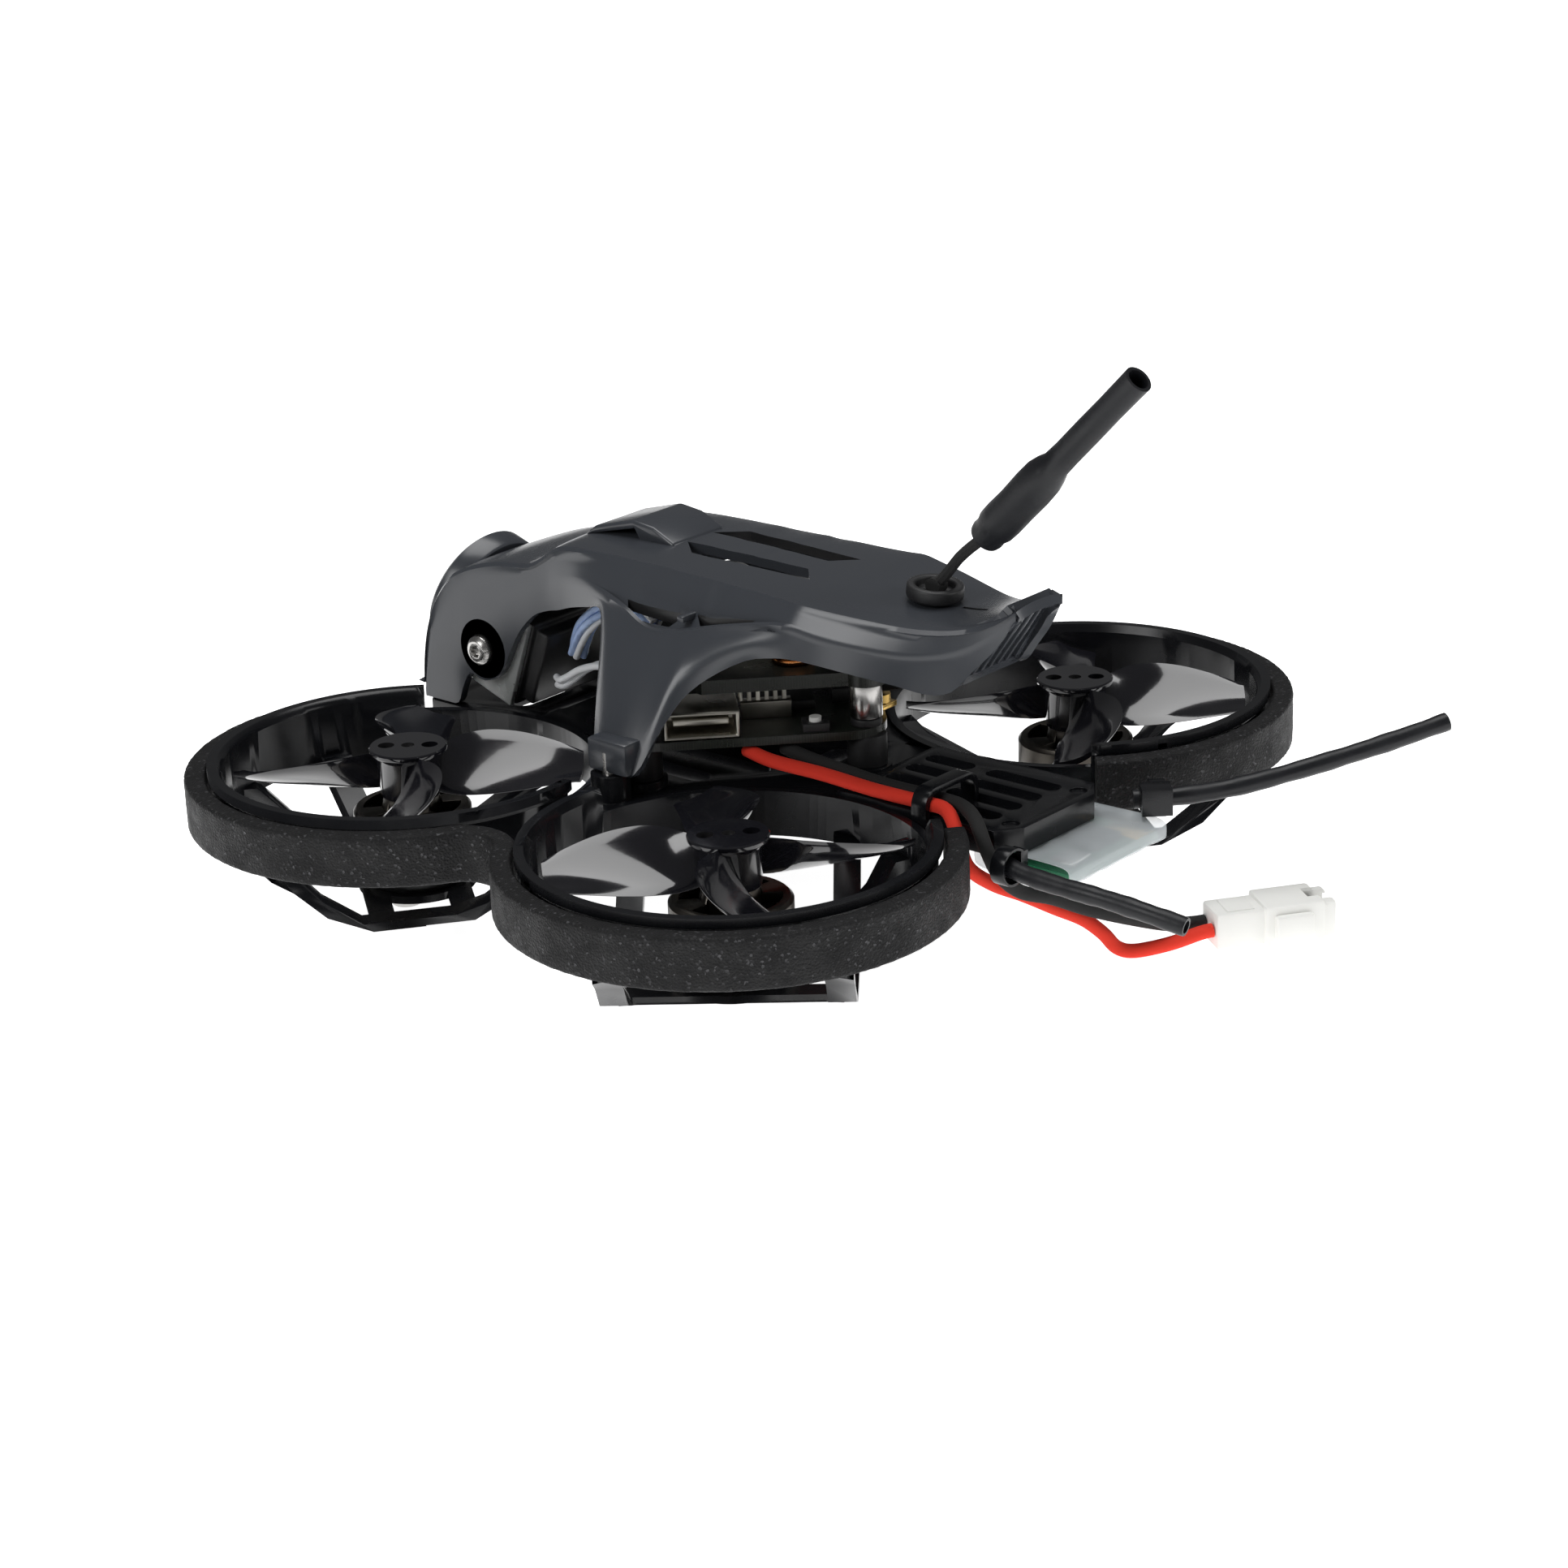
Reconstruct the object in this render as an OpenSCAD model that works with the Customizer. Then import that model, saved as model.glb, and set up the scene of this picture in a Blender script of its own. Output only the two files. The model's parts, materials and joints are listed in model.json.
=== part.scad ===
// Ducted racing drone with a camera: four propellers in one moulded frame.
// +X points to the nose, +Y to the left side and +Z up. The origin lies on the battery
// seat, the underside of the centre plate, in the middle of the four motors.

/* [Frame] */
// Motor to motor distance across the diagonal
wheelbase = 79; // [78.5:0.5:96]
// Angle of the motors from the nose line
motor_angle = 52; // [51.5:0.5:53]
// Height of the duct lips above the battery seat
lip_z = 5.5; // [5:0.1:6.5]
// Depth of the skids below the battery seat
skid_depth = 11; // [11:0.5:15]
// Thickness of the rear deck
deck_h = 3.3; // [3:0.1:3.4]

/* [Propulsion] */
// Diameter of the propellers
prop_d = 40; // [33:0.5:40.5]
// Gap between the blade tips and the duct wall
tip_gap = 1.3; // [1:0.1:1.6]
// Outer diameter of the motor bells
bell_d = 13.6; // [13:0.1:14.6]
// Diameter of the motor shafts
shaft_d = 1.5; // [1.2:0.1:1.8]
// Radial play between a shaft and its bearing tube
shaft_play = 0.05; // [0.03:0.01:0.08]

/* [Foam] */
// Thickness of the foam bumpers
foam_t = 2.5; // [2:0.1:3]
// Height of the foam bumpers
foam_h = 6; // [5:0.5:7]

/* [Electronics] */
// Side of the flight controller board
board_w = 30.5; // [30:0.1:30.7]
// Spacing of the board's mounting holes
board_holes = 25.5; // [25.2:0.1:25.8]

/* [Camera] */
// Width of the camera case
camera_w = 14; // [13:0.5:14]
// Height of the camera case
camera_h = 11.4; // [10:0.2:11.8]
// Upward tilt of the camera as set
camera_tilt = 20; // [15:1:25]

/* [Hidden] */
$fn = 48;

// Finishes
moulded_black = [0.10, 0.10, 0.11];
foam_black = [0.06, 0.06, 0.06];
canopy_slate = [0.16, 0.17, 0.19];
bell_metal = [0.30, 0.29, 0.27];
copper = [0.72, 0.38, 0.20];
steel = [0.70, 0.70, 0.72];
board_black = [0.12, 0.13, 0.11];
lead_red = [0.85, 0.12, 0.08];
nylon_white = [0.92, 0.92, 0.90];

// Motor places, as signs of X and Y: front left, front right, rear left, rear right
MOTORS = [[1, 1], [1, -1], [-1, 1], [-1, -1]];
motor_x = wheelbase / 2 * cos(motor_angle);
motor_y = wheelbase / 2 * sin(motor_angle);

// Ducts
duct_r = prop_d / 2 + tip_gap;
wall_r = duct_r + 1;
lip_r = wall_r + 0.6;
wall_low = -2.5;
rim_z = 2.8;
lip_start = -49;
lip_sweep = 237;
plate_top = -10;
plate_low = -10.9;
screw_ring_r = 3.3;

// Foam: its inner face stands just off the lip, and its valley is a fillet between the ducts
foam_in = lip_r + 0.2;
foam_out = foam_in + foam_t;
foam_top = lip_z - 1;
valley_r = 4;
valley_y = motor_y + sqrt(pow(foam_out + valley_r, 2) - pow(motor_x, 2));
foam_end_y = motor_y - 18.2;

// Motors, from the seat upwards
bell_r = bell_d / 2;
bell_top = -1.2;
bell_low = -8.4;
shaft_r = shaft_d / 2;
tube_r = 2.1;
hub_low = 0.2;
hub_top = 6;

// Centre frame
nose_x = 44.8;
deck_x = -45;
spine_w = 9.2;
seat_pad = 0.4;
centre_h = 2.4;
nose_h = 1.6;
boss_y = motor_y - 7.8;
boss_top = lip_z;
stack_r = board_holes / sqrt(2);

// Board stack
board_low = 7;
board_t = 1;
board_top = board_low + board_t;
vtx_low = 13;
vtx_t = 1.6;
vtx_top = vtx_low + vtx_t;

// Canopy: wall thickness and sections from nose to tail, each as
// [x, ridge half width, crown height, ridge height, hem half width, hem height]
shell_t = 1.2;
SECTIONS = [
    [24, 9.0, 22.0, 21.5, 9.0, 16.5],
    [20, 9.0, 25.3, 24.9, 9.5, 17.5],
    [14, 9.5, 25.9, 25.4, 11.0, 19.5],
    [7.5, 9.8, 26.0, 25.5, 13.0, 21.6],
    [0, 10.0, 25.9, 25.4, 13.2, 21.6],
    [-9, 10.3, 25.6, 25.2, 13.2, 21.0],
    [-18, 11.2, 25.4, 25.1, 13.0, 19.3],
    [-24, 9.9, 24.7, 24.4, 11.6, 18.6],
    [-30, 8.2, 24.2, 23.9, 9.4, 17.8],
    [-34, 7.0, 24.3, 23.9, 7.9, 17.2],
    [-38, 5.6, 25.2, 24.2, 6.4, 16.6],
    [-42.5, 4.0, 27.0, 25.2, 5.0, 16.0]];
tail_tip = [-42.5, 27];
tail_hem = [-35.3, 18.2];
skirt_top = [13.2, 21.6];
skirt_foot = [boss_y + 0.2, boss_top];
skirt_t = 1.1;
skirt_drop = atan2(skirt_top[1] - skirt_foot[1], skirt_foot[0] - skirt_top[0]);
cheek_y = 9;
nose_foot = [42, 7.6];
grommet_at = [-28.3, 0, 24.7];
grommet_lean = -6;

// Camera pivot and lens ring, in the nose
pivot = [33.8, 0, 9.7];
ring_reach = 8.6;
ring_r = 8.3;
case_depth = 9;
plate_y = camera_w / 2 + 0.8;

// Video antenna: pivot in the grommet and the sleeve's axis, leaning back
antenna_pivot = [-28.6, 0, 26.2];
STEM_ROUTE = [[-28.6, 0, 26.2], [-30.2, 0, 27.9], [-31.8, 0, 29.8], [-33.6, 0, 31.4], [-35.2, 0, 32.6]];
sleeve_at = [-35.2, 0, 32.5];
sleeve_lean = 45;

// Leads and cables
lead_r = 0.8;
RED_ROUTE = [[-9, 10.4, 6.1], [-13, 10.6, 5.6], [-19, 9, 4.8], [-26, 8.6, 4.3], [-33, 8.6, 4.3],
    [-36.5, 9.1, 4.3], [-39.4, 11, 2.8], [-41, 11.4, -0.4], [-42.5, 9, -2.9], [-44.4, 5.9, -4.8],
    [-46.4, 3, -6.8], [-48.4, 0.5, -8.5], [-49.8, -1.2, -10.4], [-50.9, -2.3, -12.2], [-52.4, -3.6, -12.7],
    [-55, -6.4, -12.2], [-57.1, -9.2, -11.4], [-57.99, -10.4, -11.2]];
BLACK_ROUTE = [[-12, 7.4, 6.1], [-15, 7.4, 5.6], [-20, 6.8, 4.8], [-26, 6.6, 4.3], [-33, 6.6, 4.3],
    [-37, 7.2, 4.4], [-40.6, 9.4, 4.3], [-43, 10.6, 1.8], [-44.2, 9.9, -1.2], [-45.4, 7.7, -3.6],
    [-47.2, 4.4, -5], [-49.6, 1.2, -6.8], [-52.2, -2.6, -8.5], [-54.4, -7, -10.2], [-55.2, -10.6, -11.1],
    [-55.84, -11.96, -11.2]];
plug_at = [-57, -11.3, -11.2];
plug_heading = -126;
plug_l = 14;
plug_w = 6;
plug_h = 5;
TUBE_LEFT = [[-45.4, 11.6, 1.2], [-49, 11.8, 0.6], [-54, 11.6, 0.2], [-59, 11, -0.2], [-64, 10.4, -0.8],
    [-68.3, 9.6, -1.6]];
TUBE_RIGHT = [[-46, -12.4, 1], [-50, -15.9, 1.2], [-54, -19.8, 1.8], [-58, -24.8, 2.8], [-62, -30.4, 4],
    [-65.6, -35.8, 5.2], [-68.8, -41, 6.4]];
COAX_ROUTE = [[-15.6, -5.6, 10.4], [-18.5, -5.4, 11.2], [-22, -4, 13], [-25, -2, 17], [-27.4, -0.6, 21],
    [-28.3, 0, 24]];
CAMERA_WIRES = [[23.8, 3, 9.4], [22.8, 3.4, 11.4], [21, 4, 13.8], [18.4, 4, 16], [15.4, 4, 17.2],
    [12.4, 4, 17.2], [9.8, 4, 16]];
CAMERA_CABLE = [[24.6, 6, 6.6], [23.2, 6.6, 6.8], [21.4, 7, 7.8], [19, 7, 9.4], [16.4, 6.4, 10.2],
    [13.4, 5.4, 9.4]];

// One ring of points round a path, square to the path's direction there
function heading(p, i) = let (a = p[max(i - 1, 0)], b = p[min(i + 1, len(p) - 1)]) (b - a) / norm(b - a);
function across(d) = let (s = abs(d[2]) > 0.95 ? cross(d, [1, 0, 0]) : cross(d, [0, 0, 1])) s / norm(s);
function ring(p, i, r, n) = let (d = heading(p, i), s = across(d), u = cross(s, d))
    [for (k = [0:n - 1]) p[i] + r * (cos(360 * k / n) * s + sin(360 * k / n) * u)];

// Catmull-Rom points along a route, with the given number of steps between each pair
function spline_point(a, b, c, d, t) =
    0.5 * (2 * b + (c - a) * t + (2 * a - 5 * b + 4 * c - d) * t * t + (3 * b - a - 3 * c + d) * t * t * t);
function spline(p, steps) = let (last = len(p) - 1) concat(
    [for (i = [0:last - 1]) for (k = [0:steps - 1])
        spline_point(p[max(i - 1, 0)], p[i], p[i + 1], p[min(i + 2, last)], k / steps)],
    [p[last]]);

// A closed skin over equal rings of points, the first and last ring capped
module skin(rings) {
    n = len(rings[0]);
    m = len(rings);
    polyhedron(
        points = [for (r = rings) for (q = r) q],
        faces = concat(
            [for (i = [0:m - 2]) for (k = [0:n - 1]) [i * n + k, i * n + (k + 1) % n, (i + 1) * n + k]],
            [for (i = [0:m - 2]) for (k = [0:n - 1])
                [i * n + (k + 1) % n, (i + 1) * n + (k + 1) % n, (i + 1) * n + k]],
            [[for (k = [0:n - 1]) n - 1 - k]],
            [[for (k = [0:n - 1]) (m - 1) * n + k]]),
        convexity = 6);
}

// A round cord along a route
module cord(route, r, steps = 1, sides = 8) {
    path = spline(route, steps);
    skin([for (i = [0:len(path) - 1]) ring(path, i, r, sides)]);
}

// Placing helpers
module at_motor(i) translate([MOTORS[i][0] * motor_x, MOTORS[i][1] * motor_y, 0]) children();
module mirrored_for(i) mirror([MOTORS[i][0] < 0 ? 1 : 0, 0, 0]) mirror([0, MOTORS[i][1] < 0 ? 1 : 0, 0])
    children();
module on_cradles() for (i = [0:3]) at_motor(i) mirrored_for(i) rotate(motor_angle) children();
module both_sides() {
    children();
    mirror([0, 1, 0]) children();
}
module diamond() rotate(45) children();
module along_y(t) rotate([90, 0, 0]) translate([0, 0, -t / 2]) linear_extrude(t) children();
module stack_corners() for (a = [0:90:270]) rotate(a) translate([stack_r, 0, 0]) children();

module round_slot(x0, x1, y, w) {
    translate([x0 + w / 2, y - w / 2]) square([x1 - x0 - w, w]);
    for (x = [x0 + w / 2, x1 - w / 2]) translate([x, y]) circle(d = w);
}

// Rounded rectangle centred on the origin
module round_rect(w, h, r) {
    square([w - 2 * r, h], center = true);
    square([w, h - 2 * r], center = true);
    for (sx = [-1, 1]) for (sy = [-1, 1])
        translate([sx * (w / 2 - r), sy * (h / 2 - r)]) circle(r);
}

// ---- Frame ----

// Side rail of a motor cradle: from the inner wall down to a skid tip and up to the outer wall
module cradle_rail() along_y(3) polygon([
    [-22, -1.2], [-17, -1.2], [-15.5, -3], [-6.5, -9], [-3, plate_top], [7.5, plate_top],
    [11.8, -6.9], [15.4, -2.7], [17, -1.2], [22, -1.2], [22, wall_low], [18.4, wall_low - 0.6],
    [15, -5.4], [11.5, -8.8], [6.5, -skid_depth], [0.6, -skid_depth], [0.6, plate_low],
    [-5, plate_low], [-16.5, -4.6], [-19, wall_low], [-22, wall_low]]);

// Wavy skid bar between the two skid tips
module skid_bar() translate([5.2, 0, 0]) rotate(90) along_y(2.8) polygon([
    [-12, -skid_depth], [-10, -skid_depth + 0.1], [-7.5, -skid_depth + 0.3], [-4, -skid_depth + 0.1],
    [0, -skid_depth + 0.3], [4, -skid_depth + 0.1], [7.5, -skid_depth + 0.3], [10, -skid_depth + 0.1],
    [12, -skid_depth], [12, plate_top], [-12, plate_top]]);

// Motor plate with its two cross bars, side arm and screw holes
module motor_plate(arm_angle) {
    translate([0, 0, plate_low]) linear_extrude(plate_top - plate_low) difference() {
        union() {
            circle(6.8);
            for (u = [-4.2, 5.2]) translate([u - 1.4, -12]) square([2.8, 24]);
        }
        for (a = [60, 180, 300]) rotate(a) translate([screw_ring_r, 0]) circle(1.1);
        circle(1.6);
    }
    rotate(arm_angle) along_y(3.2) polygon([
        [6.5, plate_low], [10, plate_low], [15, -8.6], [20, -4.4], [22, wall_low], [22, -1.2],
        [19.5, -1.2], [17.5, -4.2], [13.5, -7.4], [9, plate_top], [6.5, plate_top]]);
}

// Duct wall with its lip, lowered to a plain rim on the side that faces the middle
module duct_ring() difference() {
    rotate_extrude($fn = 96) polygon([
        [duct_r, wall_low], [wall_r, wall_low], [wall_r, lip_z - 1.7], [lip_r, lip_z - 1.1],
        [lip_r, lip_z], [duct_r + 0.5, lip_z], [duct_r, lip_z - 0.9]]);
    rotate([0, 0, lip_start + lip_sweep]) rotate_extrude(angle = 360 - lip_sweep, $fn = 96)
        translate([duct_r - 2, rim_z]) square([lip_r - duct_r + 4, lip_z]);
}

module duct(i) color(moulded_black) at_motor(i) mirrored_for(i) {
    duct_ring();
    intersection() {
        translate([0, 0, -20]) cylinder(r = wall_r - 0.3, h = 30, $fn = 96);
        rotate(motor_angle) {
            for (v = [-12, 12]) translate([0, v, 0]) cradle_rail();
            skid_bar();
            motor_plate(MOTORS[i][0] > 0 ? -70 : -121);
        }
    }
}

// One layer of the centre frame, from the underside up to top, cut out round the four ducts
module layer(top) translate([0, 0, seat_pad]) linear_extrude(top - seat_pad) difference() {
    union() children();
    for (m = MOTORS) translate([m[0] * motor_x, m[1] * motor_y]) circle(wall_r, $fn = 96);
}

module deck_slots() {
    for (y = [-5.4, -1.8, 1.8, 5.4]) {
        round_slot(-41, -31, y, 2.2);
        round_slot(-29, -22.4, y, 2.2);
    }
}

module centre_frame() color(moulded_black) difference() {
    union() {
        // The battery seat stands a little proud of the underside
        linear_extrude(1) translate([-30, -8.2]) square([56, 16.4]);
        layer(centre_h) {
            translate([-16, -motor_y + 1.6]) square([32, 2 * motor_y - 3.2]);
            translate([-22, -spine_w]) square([48, 2 * spine_w]);
        }
        layer(deck_h) polygon([
            [-21, -spine_w], [-43, -spine_w], [deck_x, -6.4], [deck_x, 6.4], [-43, spine_w], [-21, spine_w]]);
        layer(nose_h) polygon([
            [25, -spine_w], [43, -spine_w], [nose_x, -7], [nose_x, 7], [43, spine_w], [25, spine_w]]);
        stack_corners() translate([0, 0, seat_pad]) cylinder(r = 2.8, h = deck_h - seat_pad);
        both_sides() translate([0, boss_y, seat_pad]) cylinder(r = 2.25, h = boss_top - seat_pad);
    }
    translate([0, 0, -1]) linear_extrude(8) {
        deck_slots();
        for (y = [-6.8, 6.8]) round_slot(-9, 9, y, 2.2);
        for (x = [-12, 12]) translate([x, 0]) rotate(90) round_slot(-4, 4, 0, 3.2);
        for (y = [-12.6, 12.6]) round_slot(-5, 5, y, 3);
        for (x = [27, 33]) rotate(90) round_slot(-5, 5, -x, 3);
        for (x = [-1, 1]) for (s = [-1, 1]) translate([x, s * (boss_y + 4.6)]) circle(0.5);
    }
    for (y = [-6.2, 6.2]) translate([-43, y, deck_h - 0.3]) cylinder(r = 1, h = 1);
    stack_corners() {
        translate([0, 0, -1]) cylinder(r = 1.05, h = 8);
        translate([0, 0, -1]) cylinder(r = 2.1, h = 2.4);
    }
    both_sides() translate([0, boss_y, -1]) {
        cylinder(r = 1, h = 9);
        cylinder(r = 1.9, h = 2.4);
    }
    both_sides() translate([nose_foot[0], nose_foot[1], -1]) cylinder(r = 1, h = 4);
}

// ---- Foam ----

module twin_outline(r, fillet) difference() {
    union() {
        for (s = [-1, 1]) translate([s * motor_x, motor_y]) circle(r, $fn = 96);
        polygon([[-motor_x, motor_y], [motor_x, motor_y], [0, valley_y]]);
    }
    translate([0, valley_y]) circle(fillet, $fn = 64);
}

module foam_bumper() color(foam_black) translate([0, 0, foam_top - foam_h]) linear_extrude(foam_h)
    difference() {
        twin_outline(foam_out, valley_r);
        twin_outline(foam_in, valley_r + foam_t);
        translate([-80, foam_end_y - 100]) square([160, 100]);
        polygon([[-motor_x - 16, foam_end_y - 0.1], [motor_x + 16, foam_end_y - 0.1],
            [motor_x, motor_y], [-motor_x, motor_y]]);
    }

// ---- Canopy ----

// One ring of the canopy's dome, inset by t. A drop adds two points that far below the hem
function dome_ring(s, t, drop) = concat(
    drop > 0 ? [[s[0], s[4] - t, s[5] - drop]] : [],
    [[s[0], s[4] - t, s[5]],
    [s[0], s[1] - 0.8 * t, s[3] - 0.9 * t],
    [s[0], 0.72 * (s[1] - t), (s[3] + 2.2 * s[2]) / 3.2 - t],
    [s[0], 0.36 * (s[1] - t), (s[3] + 8 * s[2]) / 9 - t],
    [s[0], 0, s[2] - t],
    [s[0], -0.36 * (s[1] - t), (s[3] + 8 * s[2]) / 9 - t],
    [s[0], -0.72 * (s[1] - t), (s[3] + 2.2 * s[2]) / 3.2 - t],
    [s[0], -s[1] + 0.8 * t, s[3] - 0.9 * t],
    [s[0], -s[4] + t, s[5]]],
    drop > 0 ? [[s[0], -s[4] + t, s[5] - drop]] : []);

function stretched(s, i) = let (x = s[0] + (i == 0 ? 1 : i == len(SECTIONS) - 1 ? -1 : 0))
    [x, s[1], s[2], s[3], s[4], s[5]];

module dome() difference() {
    skin([for (s = SECTIONS) dome_ring(s, 0, 0)]);
    skin([for (i = [0:len(SECTIONS) - 1]) dome_ring(stretched(SECTIONS[i], i), shell_t, 4)]);
    // The tail is cut by a plane leaning forward and down from its tip
    along_y(60) polygon([tail_tip, tail_hem, [tail_hem[0], 5], [-60, 5], [-60, tail_tip[1] + 5],
        [tail_tip[0], tail_tip[1] + 5]]);
}

// Slatted plate that closes the tail
module tail_grille() {
    run = norm(tail_tip - tail_hem);
    lean = atan2(tail_tip[1] - tail_hem[1], tail_hem[0] - tail_tip[0]);
    translate([tail_hem[0], 0, tail_hem[1]]) rotate([0, lean - 180, 0]) rotate([180, 0, 0])
        linear_extrude(0.8) difference() {
            polygon([[0, -6.4], [run - 3, -4.2], [run - 0.8, -2.6], [run - 0.8, 2.6], [run - 3, 4.2], [0, 6.4]]);
            for (k = [0:4]) translate([1.4 + 1.8 * k, 0]) square([0.9, 8.6 - 1.2 * k], center = true);
        }
}

// Cheek of the nose, from the dome's front down to its foot on the frame
module cheek_outline() {
    difference() {
        polygon([[20, 24.4], [24, 21.7], [30, 21.3], [35.6, 19.9], [39.4, 17.2], [42, 13.4], [43.4, 9],
            [44.2, 5], [44.2, nose_h], [38.4, nose_h], [37.6, 4.4], [36.4, 6.2], [33.8, 6],
            [30.6, 7.4], [29.2, 10.6], [27.6, 13.2], [24, 16.5], [20, 17.5]]);
        translate([pivot[0], pivot[2]]) circle(1.05);
    }
    difference() {
        translate([pivot[0], pivot[2]]) circle(3.9);
        translate([pivot[0], pivot[2]]) circle(1.05);
    }
}

module nose() {
    both_sides() translate([0, cheek_y - 0.5, 0]) along_y(1) cheek_outline();
    // Roof between the cheeks, open where the lens ring stands
    along_y(2 * cheek_y - 1) polygon([[22.5, 22.6], [24, 21.7], [30, 21.3], [35.6, 19.9], [37.6, 18.8],
        [37.2, 18.5], [35.1, 19.3], [29.8, 20.2], [23.8, 20.6], [22.5, 20.8]]);
    // Feet
    both_sides() translate([nose_foot[0] - 1.8, nose_foot[1] - 1.6, nose_h]) cube([3.8, 3, 4]);
    // Ring round the lens
    translate(pivot) rotate([0, -camera_tilt, 0]) translate([ring_reach, 0, 0]) rotate([0, 90, 0])
        rotate_extrude() translate([ring_r - 1.1, -1.6]) square([1.1, 3.2]);
}

// Leg and arch: a plate that leans out from the hem to the foot on the frame's boss
module skirt() {
    reach = norm(skirt_foot - skirt_top);
    translate([0, skirt_top[0], skirt_top[1]]) rotate([-skirt_drop, 0, 0]) translate([0, 0, -skirt_t])
        linear_extrude(skirt_t) polygon([[9.6, -0.6], [8, reach * 0.4], [4.2, reach * 0.82], [2.6, reach - 1],
            [-2.8, reach - 1], [-4, reach * 0.8], [-5, reach * 0.62], [-6, reach * 0.5], [-8.6, reach * 0.36],
            [-12.5, reach * 0.26], [-18, reach * 0.12], [-22, 0.4], [-22, -0.6]]);
    translate([-2.8, boss_y - 2.1, boss_top]) cube([5.4, 3.2, 3.4]);
}

// Raised hood on the crown, open at its sides
module scoop() along_y(9) polygon([[20.4, 25], [18.6, 26.4], [12.6, 28], [9.4, 27.6], [6.2, 26.1],
    [6.2, 25.3], [11.6, 25.3], [12.4, 26.9], [18.4, 25.4], [18.8, 25]]);

module side_slots() for (x = [[-2.4, 6.6], [-14, -5]])
    translate([0, 11.6, 23.3]) rotate([-50, 0, 0]) translate([0, 0, -4]) linear_extrude(8)
        round_slot(x[0], x[1], 0, 1.6);

module canopy() color(canopy_slate) difference() {
    union() {
        dome();
        tail_grille();
        nose();
        both_sides() skirt();
        scoop();
    }
    // Two vents in the roof, each a long parallelogram
    both_sides() translate([0, 0, 20]) linear_extrude(12)
        polygon([[6, 2.2], [2.8, 5.1], [-14.2, 4.5], [-11.7, 1.8]]);
    both_sides() side_slots();
    translate([grommet_at[0], 0, 20]) cylinder(r = 2.3, h = 10);
    translate([0, 0, 20]) linear_extrude(10) translate([-35, 0]) round_slot(-0.4, 2.6, 0, 0.6);
    both_sides() translate([0, boss_y, 0]) cylinder(r = 0.95, h = 8.2);
    both_sides() translate([nose_foot[0], nose_foot[1], 0]) cylinder(r = 0.95, h = 5.2);
    translate([pivot[0], 0, pivot[2]]) rotate([90, 0, 0]) cylinder(r = 1.05, h = 30, center = true);
}

module pan_screw(head_r, head_h, r, l) {
    difference() {
        cylinder(r = head_r, h = head_h);
        translate([0, 0, -0.5]) cylinder(r = 0.65, h = head_h, $fn = 6);
    }
    translate([0, 0, head_h]) cylinder(r = r, h = l);
}

module canopy_screws() color(steel) both_sides() {
    translate([0, boss_y, 0.2]) pan_screw(1.7, 1.2, 0.93, 6.6);
    translate([nose_foot[0], nose_foot[1], seat_pad - 1.2]) pan_screw(1.7, 1.2, 0.93, 4.6);
}

// ---- Motors ----

module motor_stators() color(moulded_black) on_cradles() {
    difference() {
        union() {
            translate([0, 0, plate_top]) cylinder(r = 5.6, h = 1.2);
            translate([0, 0, plate_top]) cylinder(r = tube_r, h = 7.6);
            translate([0, 0, -6.9]) cylinder(r = 3, h = 3.2);
            for (k = [0:8]) rotate(40 * k) translate([2, -0.35, -6.7]) cube([3.4, 0.7, 2.8]);
        }
        translate([0, 0, plate_top - 1]) cylinder(r = shaft_r + shaft_play, h = 12);
        for (a = [60, 180, 300]) rotate(a) translate([screw_ring_r, 0, plate_top - 1]) cylinder(r = 0.85, h = 2);
    }
}

module motor_windings() color(copper) on_cradles() for (k = [0:8]) rotate(40 * k) difference() {
    translate([3.2, -0.95, -7.3]) cube([1.9, 1.9, 4]);
    translate([2, -0.36, -6.71]) cube([5, 0.72, 2.82]);
}

module motor_screws() color(steel) on_cradles() for (k = [0:2]) rotate(60 + 120 * k)
    translate([screw_ring_r, 0, plate_low - 1.2]) pan_screw(1.7, 1.2, 0.83, plate_top - plate_low + 0.8);

// Three enamelled leads from each motor along the cradle's inner bar to the frame
module motor_leads() color(moulded_black) on_cradles() for (k = [-1, 0, 1])
    cord([[-5.9, 1.3 * k, -9.4], [-9, 1.3 * k, -9.2], [-13, 1.3 * k, -7.6], [-17, 1.2 * k, -4.8],
        [-20.4, 1.1 * k, -3.4]], 0.45);

module window(a) rotate(a) difference() {
    intersection() {
        circle(bell_r - 1.2);
        polygon([[0, 0], [9, -4.6], [9, 4.6]]);
    }
    circle(3.2);
}

module motor_bell(i) color(bell_metal) at_motor(i) difference() {
    rotate_extrude() polygon([[shaft_r, bell_top - 1.2], [bell_r - 0.65, bell_top - 1.2],
        [bell_r - 0.65, bell_low], [bell_r, bell_low], [bell_r, bell_top - 0.4], [bell_r - 0.4, bell_top],
        [3.5, bell_top], [3.1, hub_low], [shaft_r, hub_low]]);
    translate([0, 0, bell_top - 3]) linear_extrude(6) for (k = [0:3]) window(90 * k + 20);
}

module motor_magnets(i) color(steel) at_motor(i) for (k = [0:11]) rotate(30 * k)
    rotate([0, 0, -13]) rotate_extrude(angle = 26) translate([bell_r - 1.15, bell_low + 0.4])
        square([0.48, 4.6]);

module motor_shaft(i) color(steel) at_motor(i) translate([0, 0, plate_top + 0.4])
    cylinder(r = shaft_r, h = hub_top - 1 - plate_top);

// ---- Propellers ----

// Blade stations: [share of the tip radius, chord, pitch, height of the mid chord, sweep]
BLADE = [[0.17, 5.4, 66, 3.1, 0], [0.26, 6.6, 54, 3.1, 4], [0.38, 8.2, 42, 3.2, 7], [0.52, 9.2, 34, 3.3, 7],
    [0.68, 9, 28, 3.3, 5], [0.84, 7.6, 23, 3.2, 2], [1, 5.4, 19, 3.1, -2]];

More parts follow.
